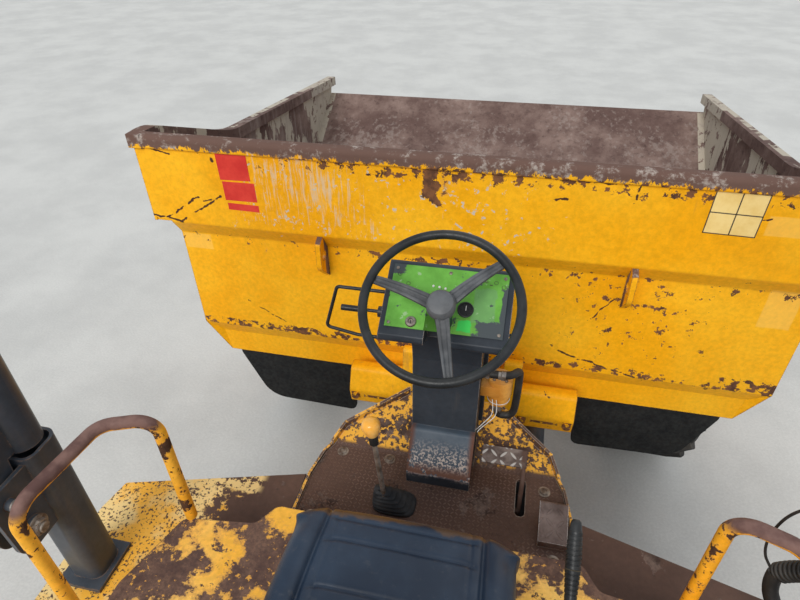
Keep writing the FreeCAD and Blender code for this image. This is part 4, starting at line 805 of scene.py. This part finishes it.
def makeTyre():
    look = tyreLook
    bpy.ops.mesh.primitive_cylinder_add(vertices=96, radius=look["treadRadius"], depth=0.384, end_fill_type="NGON",
                                        rotation=(0, math.pi / 2, 0))
    tyre = settle(bpy.context.object)
    startEdit(tyre)
    for side in (1, -1):
        pick(tyre, lambda c, n, side=side: n.x * side > 0.9 and c.x * side > 0.15)
        for thick, out in ((0.026, 0.026), (0.075, 0.017), (0.085, -0.018), (0.040, -0.022), (0.0345, -0.004)):
            bpy.ops.mesh.inset(thickness=thick, depth=out)
        bpy.ops.mesh.delete(type="FACE")
    pick(tyre, lambda c: math.hypot(c.y, c.z) < 0.2915, "edges")
    bpy.ops.mesh.bridge_edge_loops()
    bpy.ops.mesh.select_all(action="SELECT")
    bpy.ops.mesh.normals_make_consistent(inside=False)
    endEdit()
    bars = []
    for side, phase in ((1, 0.0), (-1, 0.5)):
        bpy.ops.mesh.primitive_cube_add(size=1, location=(0, 0, 0))
        bar = bpy.context.object
        bar.scale = (0.285, look["barWidth"], 0.075)
        settle(bar)
        bpy.ops.object.mode_set(mode="EDIT")
        bpy.ops.mesh.select_all(action="SELECT")
        bpy.ops.mesh.subdivide(number_cuts=2)
        bpy.ops.mesh.select_all(action="DESELECT")
        endEdit()
        lean = math.radians(look["barLean"])
        for corner in bar.data.vertices:
            x, y, z = corner.co
            taper = 1.0 + 0.25 * (x + 0.1425) / 0.285
            along, across = x + 0.118, y * taper * (0.86 if z > 0.03 else 1.12)
            px = along * math.cos(lean) - across * math.sin(lean)
            turn = (along * math.sin(lean) + across * math.cos(lean)) / look["radius"]
            px = min(max(px, -0.02), 0.217 if z > 0.03 else 0.228)
            top = look["radius"] - 0.001 - max(0.0, px - 0.19) * 0.7
            r = top if z > 0.03 else (look["treadRadius"] - 0.014 - max(0.0, px - 0.17) * 0.9 if z < -0.03 else
                                      (top + look["treadRadius"]) / 2)
            corner.co = (px * side, r * math.sin(turn), r * math.cos(turn))
        turnedInward(bar)
        rounded(bar, 0.003, 1, 50)
        for i in range(look["bars"]):
            bars.append(copyOf(bar, Matrix.Rotation((i + phase) * 2 * math.pi / look["bars"], 4, "X")))
        bpy.data.objects.remove(bar)
    return joined([tyre] + bars)


def place(x, y, z):
    return Matrix.Translation((x, y, z))


tyrePattern = makeTyre()
for end, y in (("front", tyreLook["frontY"]), ("rear", tyreLook["rearY"])):
    for hand, side in (("right", 1), ("left", -1)):
        turn = Matrix.Rotation(0.13 * (side + 2) + (0.2 if end == "front" else 0), 4, "X")
        tyre = copyOf(tyrePattern, place(side * tyreLook["trackHalf"], y, tyreLook["axleZ"]) @ turn)
        finished(tyre, f"tread_{end}_{hand}", f"wheel_{end}_{hand}", "tyreRubber", [f"tyre_{end}_{hand}"])
bpy.data.objects.remove(tyrePattern)
print("tyres made")

# steering wheel, built flat and tilted to its column
wheelLook = {"radius": 0.186, "rim": 0.0115, "centre": (0.0, -0.310, 2.020), "tilt": 32.6, "spokes": (44, 164, 284),
             "boss": [(0.0205, -0.020), (0.033, -0.019), (0.036, -0.004), (0.0345, 0.012), (0.030, 0.019), (0.019, 0.023),
                      (0.008, 0.0235)]}


def makeSteeringWheel():
    look = wheelLook
    bpy.ops.mesh.primitive_torus_add(major_segments=96, minor_segments=18, major_radius=look["radius"], minor_radius=look["rim"])
    ring = settle(bpy.context.object)
    # shallow finger swells round the underside of the rim
    for corner in ring.data.vertices:
        around = math.atan2(corner.co.y, corner.co.x)
        low = max(0.0, -corner.co.z / look["rim"])
        corner.co.z -= 0.0009 * low * (1 + math.cos(around * 28))
    boss = turned(look["boss"], 36)
    spokes = []
    for turn in look["spokes"]:
        bpy.ops.mesh.primitive_cube_add(size=1, location=(0.104, 0, -0.006))
        spoke = bpy.context.object
        spoke.scale = (0.150, 0.030, 0.012)
        settle(spoke)
        bpy.ops.object.mode_set(mode="EDIT")
        bpy.ops.mesh.select_all(action="SELECT")
        bpy.ops.mesh.subdivide(number_cuts=3)
        bpy.ops.mesh.select_mode(type="FACE")
        pick(spoke, lambda c, n: n.z > 0.9 and abs(c.y) < 0.008 and 0.04 < c.x < 0.17)
        bpy.ops.mesh.inset(thickness=0.0025, depth=0)
        bpy.ops.transform.translate(value=(0, 0, -0.004))
        endEdit()
        for corner in spoke.data.vertices:
            far = (corner.co.x - 0.029) / 0.15
            corner.co.y *= 1.12 - 0.42 * far
            corner.co.z += 0.010 * math.sin(math.pi * far) - 0.002
        rounded(spoke, 0.0018, 2, 40)
        spoke.data.transform(Matrix.Rotation(math.radians(turn), 4, "Z"))
        spokes.append(spoke)
    tilt = place(*look["centre"]) @ Matrix.Rotation(math.radians(look["tilt"]), 4, "X")
    for piece in (ring, boss, *spokes):
        piece.data.transform(tilt)
    finished(ring, "wheelRim", "steering", "gripBlack", ["steering_wheel"], 60)
    finished(joined([boss] + spokes), "wheelSpokes", "steering", "spokeGrey")


makeSteeringWheel()
print("steering wheel made")

# dash: worn green panel with its notch, gauge, key switch and screw heads
dashLook = {"low": (-0.2705, 1.9055), "high": (-0.1295, 2.0045), "half": 0.150, "thick": 0.0016, "notch": (-0.048, 0.020, -0.223),
            "gauge": (0.050, -0.2165), "key": (-0.083, -0.2560)}
slopeUp = math.atan2(dashLook["high"][1] - dashLook["low"][1], dashLook["high"][0] - dashLook["low"][0])


def onDash(x, y, lift=0.0):
    # a place on the sloping face, lift above it
    share = (y - dashLook["low"][0]) / (dashLook["high"][0] - dashLook["low"][0])
    z = dashLook["low"][1] + share * (dashLook["high"][1] - dashLook["low"][1])
    return Matrix.Translation((x, y, z)) @ Matrix.Rotation(slopeUp, 4, "X") @ Matrix.Translation((0, 0, lift))


def makeDashPanel():
    look = dashLook
    length = math.hypot(look["high"][0] - look["low"][0], look["high"][1] - look["low"][1])
    middleY = (look["low"][0] + look["high"][0]) / 2
    panel = block((2 * look["half"], length, look["thick"]), (0, 0, 0), 0)
    bpy.ops.object.mode_set(mode="EDIT")
    bpy.ops.mesh.select_all(action="SELECT")
    for x in look["notch"][:2]:
        bpy.ops.mesh.select_all(action="SELECT")
        bpy.ops.mesh.bisect(plane_co=(x, 0, 0), plane_no=(1, 0, 0))
    notchEnd = (look["notch"][2] - middleY) / math.cos(slopeUp)
    bpy.ops.mesh.select_all(action="SELECT")
    bpy.ops.mesh.bisect(plane_co=(0, notchEnd, 0), plane_no=(0, 1, 0))
    endEdit()
    startEdit(panel)
    pick(panel, lambda c, n: look["notch"][0] - 0.0005 < c.x < look["notch"][1] + 0.0005 and c.y < notchEnd + 0.0002)
    bpy.ops.mesh.delete(type="FACE")
    bpy.ops.mesh.select_mode(type="EDGE")
    bpy.ops.mesh.select_all(action="DESELECT")
    bpy.ops.mesh.select_non_manifold()
    bpy.ops.mesh.edge_face_add()
    endEdit()
    panel.data.transform(onDash(0, middleY, look["thick"] / 2 + 0.0002))
    finished(panel, "dashPanel", "rear_chassis", "dashGreen")
    gauge = turned([(0.0205, 0), (0.0205, 0.0065), (0.0185, 0.0075), (0.0165, 0.0060), (0.0160, 0.0040)], 32)
    needle = block((0.0015, 0.013, 0.0008), (0.001, 0.004, 0.0052), 0)
    gauge.data.transform(onDash(*look["gauge"], 0.0))
    needle.data.transform(onDash(*look["gauge"], 0.0))
    finished(gauge, "dashGauge", "rear_chassis", "gaugeFace")
    finished(needle, "gaugeNeedle", "rear_chassis", "tieWhite")
    barrel = turned([(0.0145, 0), (0.0145, 0.0045), (0.0125, 0.0075), (0.0070, 0.0080), (0.0060, 0.0050), (0.0040, 0.0045)], 28)
    slot = block((0.0022, 0.0085, 0.001), (0, 0, 0.0050), 0)
    barrel.data.transform(onDash(*look["key"], 0.0))
    slot.data.transform(onDash(*look["key"], 0.0))
    finished(barrel, "keySwitch", "rear_chassis", "wornSteel")
    finished(slot, "keySlot", "rear_chassis", "gaugeFace")
    heads = []
    for x, y in ((-0.140, -0.262), (0.140, -0.262), (-0.140, -0.139), (0.140, -0.139), (0.0, -0.139)):
        head = turned([(0.0045, 0), (0.0043, 0.0018), (0.0025, 0.0026)], 14)
        head.data.transform(onDash(x, y, 0.0018))
        heads.append(head)
    finished(joined(heads), "dashScrews", "rear_chassis", "boltSteel")


makeDashPanel()
print("dash made")

# gear lever and park brake, in place of the plain levers
leverLook = {"boot": (-0.115, -0.347, 1.270), "bootHalf": (0.064, 0.046), "bootLean": (-0.046, -0.010), "folds": 5,
             "stickFoot": (-0.145, -0.364, 1.325), "stickTop": (-0.168, -0.362, 1.570), "knobAt": (-0.1695, -0.362, 1.586)}


def makeLevers():
    look = leverLook
    folds = [(1.0, 0.0), (1.02, 0.004), (0.98, 0.010)]
    for i in range(look["folds"]):
        r, z = 0.92 - 0.125 * i, 0.013 + 0.0120 * i
        folds += [(r - 0.24, z), (r - 0.03, z + 0.0026), (r, z + 0.0050), (r - 0.03, z + 0.0072)]
    folds += [(0.24, 0.073), (0.26, 0.079), (0.18, 0.084)]
    boot = turned(folds, 48)
    # squared off, and leant over with the stick
    for corner in boot.data.vertices:
        x, y, z = corner.co
        r = math.hypot(x, y)
        square = r / max((abs(x) ** 3.4 + abs(y) ** 3.4) ** (1 / 3.4), 1e-6) if r > 0.25 else 1.0
        lean = z / 0.084
        corner.co = (x * square * look["bootHalf"][0] + lean * look["bootLean"][0], y * square * look["bootHalf"][1] + lean * look["bootLean"][1], z)
    boot.data.transform(place(*look["boot"]))
    finished(boot, "gearBoot", "rear_chassis", "bootRubber", ["levers"], 50)
    run = Vector(look["stickTop"]) - Vector(look["stickFoot"])
    stick = turned([(0.0078, 0.0), (0.0078, run.length * 0.5), (0.0074, run.length)], 16)
    stick.data.transform(place(*look["stickFoot"]) @ facing(run))
    finished(stick, "gearStick", "rear_chassis", "wornSteel")
    collar = turned([(0.0115, 0), (0.0135, 0.002), (0.0135, 0.030), (0.0120, 0.034)], 20)
    collar.data.transform(place(-0.1664, -0.3622, 1.553) @ facing(run))
    finished(collar, "gearCollar", "rear_chassis", "gripBlack")
    knob = turned([(0.0125, 0.0), (0.0160, 0.003), (0.0205, 0.013), (0.0255, 0.028), (0.0270, 0.040), (0.0245, 0.051),
                   (0.0175, 0.0585), (0.008, 0.0610), (0.002, 0.0612)], 32)
    modify(knob, "SUBSURF", levels=1, render_levels=1)
    knob.data.transform(place(*look["knobAt"]) @ facing(run))
    finished(knob, "gearKnob", "rear_chassis", "knobYellow", (), 60)
    # park brake: pivot ears, stem and a grooved grip
    foot = block((0.028, 0.170, 0.010), (0.370, -0.815, 1.405), 0.003)
    ears = [block((0.005, 0.070, 0.055), (x, -0.800, 1.432), 0.004) for x in (0.3585, 0.3815)]
    pin = turned([(0.007, 0), (0.007, 0.034)], 12)
    pin.data.transform(place(0.353, -0.800, 1.440) @ facing((1, 0, 0)))
    finished(joined([foot, *ears, pin]), "parkBracket", "rear_chassis", "darkSteel")
    stem = tube([(0.370, -0.800, 1.425), (0.370, -0.760, 1.450), (0.369, -0.700, 1.480), (0.368, -0.660, 1.500)], 0.009, sides=12)
    finished(stem, "parkStem", "rear_chassis", "wornSteel")
    grip = [(0.0110, 0.0), (0.0135, 0.002)]
    for i in range(14):
        z = 0.010 + 0.0105 * i
        r = 0.0136 + 0.0046 * math.sin(math.pi * z / 0.180)
        grip += [(r, z), (r, z + 0.0068), (r - 0.0012, z + 0.0080), (r - 0.0012, z + 0.0096)]
    grip += [(0.0140, 0.160), (0.0135, 0.168), (0.0115, 0.176), (0.007, 0.180)]
    handle = turned(grip, 24)
    handle.data.transform(place(0.368, -0.668, 1.495) @ Matrix.Rotation(math.radians(-52), 4, "X"))
    finished(handle, "parkGrip", "rear_chassis", "gripBlack")
    bpy.ops.mesh.primitive_torus_add(major_segments=32, minor_segments=8, major_radius=0.0165, minor_radius=0.0016)
    tie = settle(bpy.context.object)
    tail = block((0.0035, 0.035, 0.0012), (0, 0.031, 0), 0.0003)
    band = joined([tie, tail])
    band.data.transform(place(0.368, -0.612, 1.5385) @ Matrix.Rotation(math.radians(-52), 4, "X"))
    finished(band, "parkTie", "rear_chassis", "labelLine")


makeLevers()
print("levers made")

# red notices and the pale four-cell label on the back of the skip, all left blank
labels = {"noticeTop": ((-0.860, 2.012), (0.118, 0.110), -1.2, "noticeRed"), "noticeMiddle": ((-0.850, 1.913), (0.125, 0.074), -0.4, "noticeRed"),
          "noticeLow": ((-0.846, 1.850), (0.122, 0.027), 1.0, "noticeRed"), "labelRight": ((0.802, 1.985), (0.152, 0.144), 1.2, "labelPale")}
for name, ((x, z), (wide, high), turn, finish) in labels.items():
    label = block((wide, 0.0008, high), (0, 0, 0), 0)
    label.data.transform(place(x, 0.3746, z) @ Matrix.Rotation(math.radians(turn), 4, "Y"))
    finished(label, name, "skip_body", finish)
bars = []
for (dx, dz), size in (((0, 0), (0.0035, 0.146)), ((0, 0), (0.154, 0.0035)), ((-0.0755, 0), (0.003, 0.146)), ((0.0755, 0), (0.003, 0.146)),
                       ((0, 0.0715), (0.154, 0.003)), ((0, -0.0715), (0.154, 0.003))):
    bars.append(block((size[0], 0.0006, size[1]), (dx, 0, dz), 0))
frameLines = joined(bars)
frameLines.data.transform(place(0.802, 0.3740, 1.985) @ Matrix.Rotation(math.radians(1.2), 4, "Y"))
finished(frameLines, "labelRightLines", "skip_body", "labelLine")
print("labels made")
# seat pads, built flat with the sitting side up, blown up as cloth, capped, then seamed
padLooks = {
    "seatCushionPad": {"size": (0.500, 0.456, 0.100), "round": 0.026, "crown": 0.008, "bolster": 0.014, "fall": 0.007,
                       "narrow": 0.03, "corner": 0.070, "seams": (-0.181, 0.181), "channels": (0.190, 0.138, 0.032, -0.076),
                       "cap": 0.009, "centre": (-0.012, -0.864, 1.619), "tilt": 1.5, "node": "seat_cushion"},
    "seatBackPad": {"size": (0.440, 0.420, 0.058), "round": 0.024, "crown": 0.003, "bolster": 0.016, "fall": 0.004,
                    "narrow": 0.10, "corner": 0.055, "seams": (-0.150, 0.150), "channels": (0.110, 0.010, -0.090),
                    "cap": 0.007, "centre": (-0.004, -1.203, 1.812), "tilt": 98.5, "node": "seat_back"},
}


def easeUp(value, low, high):
    share = min(1.0, max(0.0, (value - low) / (high - low)))
    return share * share * (3 - 2 * share)


def padShape(look, x, y, z):
    # crown, side bolsters, fallen front edge, and sides pulled in between the corners
    wide, deep, thick = (side / 2 for side in look["size"])
    across, along = (abs(x) - wide) / look["corner"] + 1, (y - deep) / look["corner"] + 1
    if across > 0 and along > 0:
        inward = look["corner"] * (max(across, along) / math.hypot(across, along) - 1)
        x += math.copysign(inward * across, x)
        y += inward * along
    up = easeUp(z, -0.3 * thick, 0.8 * thick)
    raised = look["crown"] * (1 - (x / wide) ** 2) * (1 - (y / deep) ** 2)
    raised += look["bolster"] * easeUp(abs(x), look["seams"][1] - 0.01, look["seams"][1] + 0.03) * (1 - 0.4 * easeUp(abs(x), wide - 0.03, wide)) * (1 - 0.8 * easeUp(y, 0.5 * deep, 0.95 * deep))
    raised -= look["fall"] * easeUp(y, 0.45 * deep, deep)
    return x * (1 - look["narrow"] * easeUp(y, 0, deep)) * (1 - 0.012 * (1 - (y / deep) ** 2)), y - 0.012 * (x / wide) ** 2 * easeUp(y, 0, deep), z + raised * up


def sewn(look, x, y):
    # how deep the sewn lines pull the cover in at a place
    depth = 0.0
    narrow = 1 - look["narrow"] * easeUp(y, 0, look["size"][1] / 2)
    for seam in look["seams"]:
        depth += 0.0085 * math.exp(-((x / narrow - seam) / 0.0055) ** 2)
    inside = min(abs(x / narrow - seam) for seam in look["seams"])
    if abs(x / narrow) < look["seams"][1]:
        for channel in look["channels"]:
            bow = channel - 0.010 * math.exp(-(inside / 0.022) ** 2) if channel != look["channels"][0] else channel
            depth += 0.0042 * math.exp(-((y - bow) / 0.0050) ** 2) * easeUp(inside, 0.0, 0.03)
        border = abs(inside - 0.028)
        depth += 0.0018 * math.exp(-(border / 0.0035) ** 2)
    return depth


def makePad(name, look):
    pad = block(look["size"], (0, 0, 0), look["round"], 5)
    modify(pad, "REMESH", mode="VOXEL", voxel_size=0.006)
    for corner in pad.data.vertices:
        corner.co = padShape(look, *corner.co)
    puff(pad, look)
    modify(pad, "SMOOTH", factor=0.5, iterations=3)
    modify(pad, "SUBSURF", levels=1, render_levels=1)
    top = look["size"][2] / 2 - 0.035
    for corner in pad.data.vertices:
        corner.co.z -= sewn(look, corner.co.x, corner.co.y) * easeUp(corner.co.z, top - 0.02, top + 0.01)
    pad.data.transform(place(*look["centre"]) @ Matrix.Rotation(math.radians(look["tilt"]), 4, "X"))
    finished(pad, name, "rear_chassis", "seatVinyl", [look["node"]], 180)


def puff(pad, look):
    rest = [corner.co.copy() for corner in pad.data.vertices]
    held = pad.vertex_groups.new(name="held")
    under = [corner.index for corner in pad.data.vertices if corner.co.z < -0.3 * look["size"][2]]
    held.add(under, 1.0, "REPLACE")
    narrow = [corner.index for corner in pad.data.vertices if corner.co.z > 0 and sewn(look, corner.co.x, corner.co.y) > 0.003]
    held.add(narrow, 0.8, "REPLACE")
    only(pad)
    cloth = pad.modifiers.new("cloth", "CLOTH")
    cloth.settings.quality = 4
    cloth.settings.use_pressure = True
    cloth.settings.uniform_pressure_force = 4
    cloth.settings.vertex_group_mass = "held"
    cloth.settings.effector_weights.gravity = 0
    for frame_number in range(1, 21):
        scene.frame_set(frame_number)
    bpy.ops.object.modifier_apply(modifier="cloth")
    scene.frame_set(1)
    for corner, before in zip(pad.data.vertices, rest):
        moved = corner.co - before
        if moved.length > look["cap"]:
            corner.co = before + moved * (look["cap"] / moved.length)
    pad.vertex_groups.clear()


for name, look in padLooks.items():
    makePad(name, look)
print("seat pads made")

# steering valve, its hose and the loop of tie wire that hangs from it
valveLook = {"x": 0.158, "y": -0.050, "z": 1.555, "body": [(0.0300, -0.078), (0.0335, -0.074), (0.0335, -0.044), (0.0395, -0.040),
             (0.0395, 0.018), (0.0370, 0.024), (0.0140, 0.025)], "foot": [(0.015, -0.105), (0.015, -0.078)]}


def makeValve():
    look = valveLook
    at = place(look["x"], look["y"], look["z"])
    body = turned(look["body"], 36)
    body.data.transform(at)
    bolts = []
    for i in range(4):
        bolt = turned([(0.0055, 0), (0.0055, 0.004), (0.0045, 0.005)], 6)
        bolt.data.transform(at @ Matrix.Rotation(math.radians(45 + 90 * i), 4, "Z") @ place(0.026, 0, 0.0245))
        bolts.append(bolt)
    arm = block((0.062, 0.045, 0.040), (0.131, -0.0675, 1.545), 0.003)
    finished(joined([body, arm]), "steeringValve", "rear_chassis", "unitOrange", ["steering_unit"])
    foot = turned(look["foot"], 6)
    foot.data.transform(at)
    collars = []
    for spot, way in (((0.158, -0.05, 1.452), (0, 0, -1)), ((0.172, -0.110, 1.640), (-1, 0, 0)), ((0.124, -0.110, 1.640), (-1, 0, 0))):
        collar = turned([(0.0155, 0), (0.0155, 0.012), (0.0135, 0.014), (0.0135, 0.022)], 6)
        collar.data.transform(place(*spot) @ facing(way))
        collars.append(collar)
    finished(joined([foot, *bolts, *collars]), "valveFittings", "rear_chassis", "wornSteel")
    route = [(0.158, -0.050, 1.445), (0.158, -0.050, 1.424), (0.168, -0.049, 1.412), (0.196, -0.047, 1.412), (0.212, -0.046, 1.430),
             (0.214, -0.048, 1.500), (0.214, -0.050, 1.595), (0.210, -0.070, 1.632), (0.190, -0.104, 1.640), (0.155, -0.110, 1.640),
             (0.112, -0.110, 1.640)]
    hose = tube(route, 0.0122, sides=16)
    finished(hose, "valveHose", "rear_chassis", "hoseRubber", (), 60)
    wires = []
    for lean in (0.0, 0.012):
        wire = tube([(0.140 + lean, -0.088, 1.515), (0.150 + lean, -0.110, 1.480), (0.128 + lean, -0.118, 1.448), (0.106 + lean / 2, -0.132, 1.424),
                     (0.093 + lean, -0.142, 1.416)], 0.0013, sides=6)
        wires.append(wire)
    bpy.ops.mesh.primitive_torus_add(major_segments=32, minor_segments=6, major_radius=0.0350, minor_radius=0.0013, location=(0.158, -0.050, 1.492))
    wires.append(settle(bpy.context.object))
    finished(joined(wires), "tieWire", "rear_chassis", "tieWhite")


makeValve()
print("steering valve made")

# bolts on the floor and the flaps
boltLook = {"floor": [(-0.332, -0.187), (-0.170, -0.187), (0.332, -0.212), (-0.360, -0.440), (0.360, -0.440)], "floorZ": 1.270,
            "flapX": (0.700, 0.800, 0.900, 1.000), "flapZ": 1.085, "flapY": 0.4605}


def makeBolts():
    heads = []
    for x, y in boltLook["floor"]:
        head = turned([(0.0190, 0), (0.0190, 0.0016), (0.0135, 0.0020), (0.0125, 0.0056), (0.0085, 0.0064), (0.0080, 0.0040)], 20)
        head.data.transform(place(x, y, boltLook["floorZ"]))
        heads.append(head)
    finished(joined(heads), "floorBolts", "rear_chassis", "boltSteel")
    heads = []
    for x in boltLook["flapX"]:
        for side in (1, -1):
            head = turned([(0.0160, 0), (0.0160, 0.0020), (0.0095, 0.0021), (0.0095, 0.0080), (0.0080, 0.0090)], 6)
            head.data.transform(place(side * x, boltLook["flapY"], boltLook["flapZ"]) @ facing((0, -1, 0)))
            heads.append(head)
    finished(joined(heads), "flapBolts", "skip_body", "boltSteel")


makeBolts()
print("bolts made")

# open-topped steel well round the brake pedal's arm, hung under the slot in the floor
wellLook = {"x": 0.260, "y": -0.2475, "wide": 0.046, "long": 0.151, "top": 1.2600, "deep": 0.074, "wall": 0.003}


def makeWell():
    look = wellLook
    well = block((look["wide"], look["long"], look["deep"]), (look["x"], look["y"], look["top"] - look["deep"] / 2), 0)
    startEdit(well)
    pick(well, lambda c, n: n.z > 0.9)
    bpy.ops.mesh.inset(thickness=look["wall"], depth=0)
    bpy.ops.mesh.extrude_region_move(TRANSFORM_OT_translate={"value": (0, 0, look["wall"] - look["deep"])})
    endEdit()
    finished(well, "pedalWell", "rear_chassis", "darkSteel")


makeWell()
print("pedal well made")

# roll bar lock: pin head, split ring and lanyard, and the fold's bolt head, on the inner cheek of each foot
lockLook = {"pin": (0.852, -0.829, 1.725), "fold": (0.856, -0.810, 1.620), "ring": 0.024, "ringWire": 0.0017, "lanyard": 0.0012}


def makeLock(hand, side):
    look = lockLook
    inward = facing((-side, 0, 0))
    x, y, z = look["pin"]
    head = turned([(0.0150, 0), (0.0150, 0.004), (0.0120, 0.006), (0.0120, 0.012), (0.0095, 0.014), (0.0050, 0.0145)], 24)
    head.data.transform(place(side * x, y, z) @ inward)
    cross = turned([(0.0028, -0.016), (0.0028, 0.016)], 10)
    cross.data.transform(place(side * (x - 0.009), y, z) @ Matrix.Rotation(math.radians(38), 4, "X"))
    bpy.ops.mesh.primitive_torus_add(major_segments=40, minor_segments=8, major_radius=look["ring"], minor_radius=look["ringWire"])
    ring = settle(bpy.context.object)
    ring.data.transform(place(side * (x - 0.0125), y, z - 0.007) @ inward @ Matrix.Rotation(math.radians(12), 4, "Y"))
    lanyard = tube([(side * (x - 0.011), y - 0.004, z - 0.030), (side * (x - 0.016), y - 0.018, z - 0.052), (side * (x - 0.008), y - 0.008, z - 0.074),
                    (side * (x - 0.014), y + 0.012, z - 0.084), (side * (x - 0.003), y + 0.020, z - 0.094)], look["lanyard"], sides=6)
    finished(joined([head, cross, ring, lanyard]), f"lockPin_{hand}", "rear_chassis", "wornSteel")
    x, y, z = look["fold"]
    washer = turned([(0.0280, 0), (0.0280, 0.0025), (0.0262, 0.0034)], 28)
    nut = turned([(0.0205, 0), (0.0205, 0.0130), (0.0175, 0.0150)], 6)
    stub = turned([(0.0125, 0.014), (0.0125, 0.0195), (0.0110, 0.0210)], 20)
    bolt = joined([washer, nut, stub])
    bolt.data.transform(place(side * x, y, z) @ inward)
    finished(bolt, f"foldBolt_{hand}", "rear_chassis", "boltSteel")


for hand, side in (("right", 1), ("left", -1)):
    makeLock(hand, side)
print("roll bar locks made")

# curly lead clipped to the right roll bar foot: thin lead, coil and sleeve
leadLook = {"clipTop": (0.8520, -0.680, 1.770), "coilStart": (0.8440, -0.648, 1.738), "coilMiddle": (0.822, -0.585, 1.672),
            "coilEnd": (0.7900, -0.560, 1.590), "turns": 15, "coilRadius": 0.0185, "wire": 0.0042, "sleeve": 0.0165}


def curveAt(points, share):
    a, b, c = (Vector(p) for p in points)
    return (1 - share) ** 2 * a + 2 * share * (1 - share) * b + share ** 2 * c


def makeLead():
    look = leadLook
    line = (look["coilStart"], look["coilMiddle"], look["coilEnd"])
    points = []
    steps = look["turns"] * 12
    for i in range(steps + 1):
        share = i / steps
        middle = curveAt(line, share)
        run = (curveAt(line, min(1, share + 0.01)) - curveAt(line, max(0, share - 0.01))).normalized()
        across = run.cross(Vector((0, 0, 1))).normalized()
        rise = across.cross(run)
        turn = 2 * math.pi * look["turns"] * share
        grow = look["coilRadius"] * min(1, 0.35 + share * 12, 0.35 + (1 - share) * 12)
        points.append(middle + grow * (math.cos(turn) * across + math.sin(turn) * rise))
    points = [(0.8530, -0.668, 1.752)] + points
    coil = tube(points, look["wire"], sides=8)
    sleeve = tube([look["coilEnd"], (0.786, -0.566, 1.560), (0.796, -0.585, 1.525), (0.822, -0.622, 1.500), (0.846, -0.664, 1.492),
                   (0.853, -0.690, 1.490)], look["sleeve"], sides=20)
    thin = tube([(0.853, -0.690, 1.905), (0.830, -0.640, 1.900), (0.785, -0.585, 1.870), (0.752, -0.555, 1.800), (0.742, -0.548, 1.710),
                 (0.752, -0.550, 1.640), (0.778, -0.556, 1.600), (0.790, -0.560, 1.580)], 0.0030, sides=8)
    clips = [block((0.016, 0.026, 0.030), (0.8500, -0.680, z), 0.003) for z in (1.755, 1.490)]
    finished(joined([coil, sleeve, thin, *clips]), "curlyLead", "rear_chassis", "hoseRubber", (), 60)


makeLead()
print("curly lead made")

# rims of the rear lamps and the bar between stop and turn lens
lampLook = {"x": 0.465, "z": 0.875, "wide": 0.138, "high": 0.088, "y": -2.3568, "rim": 0.006}


def makeLampRims():
    look = lampLook
    bars = []
    for side in (1, -1):
        for dx, dz, wide, high in ((0, 0.5, 1, 0), (0, -0.5, 1, 0), (0.5, 0, 0, 1), (-0.5, 0, 0, 1), (0.12, 0, 0, 1)):
            size = (look["wide"] * wide + look["rim"], 0.006, look["high"] * high + look["rim"])
            bars.append(block(size, (side * look["x"] + dx * look["wide"], look["y"], look["z"] + dz * look["high"]), 0.0015))
    finished(joined(bars), "lampRims", "rear_chassis", "gripBlack")


makeLampRims()
print("lamp rims made")

# marks printed on the dash: small plain rings, ticks and three tell-tale lights
markLook = {"rings": [(-0.132, -0.152, 0.0052), (-0.106, -0.172, 0.0048), (0.118, -0.150, 0.0048), (0.138, -0.158, 0.0048)],
            "ticks": [(-0.128, -0.176, 0.011, 20), (-0.150, -0.205, 0.008, 70), (0.078, -0.146, 0.010, 60), (0.094, -0.150, 0.008, 0),
                      (0.106, -0.156, 0.008, 0), (-0.030, -0.196, 0.009, 10)],
            "lights": [(-0.040, -0.172), (-0.024, -0.173), (-0.008, -0.175)]}


def makeDashMarks():
    marks = []
    for x, y, r in markLook["rings"]:
        bpy.ops.mesh.primitive_torus_add(major_segments=24, minor_segments=6, major_radius=r, minor_radius=0.0006)
        ring = settle(bpy.context.object)
        ring.data.transform(onDash(x, y, 0.0018))
        marks.append(ring)
    for x, y, long, turn in markLook["ticks"]:
        tick = block((long, 0.0022, 0.0006), (0, 0, 0), 0)
        tick.data.transform(onDash(x, y, 0.0019) @ Matrix.Rotation(math.radians(turn), 4, "Z"))
        marks.append(tick)
    finished(joined(marks), "dashMarks", "rear_chassis", "labelLine")
    lights = []
    for x, y in markLook["lights"]:
        light = turned([(0.0034, 0), (0.0034, 0.0012), (0.0024, 0.0026), (0.0008, 0.0030)], 14)
        light.data.transform(onDash(x, y, 0.0016))
        lights.append(light)
    finished(joined(lights), "dashLights", "rear_chassis", "tieWhite")


makeDashMarks()
print("dash marks made")
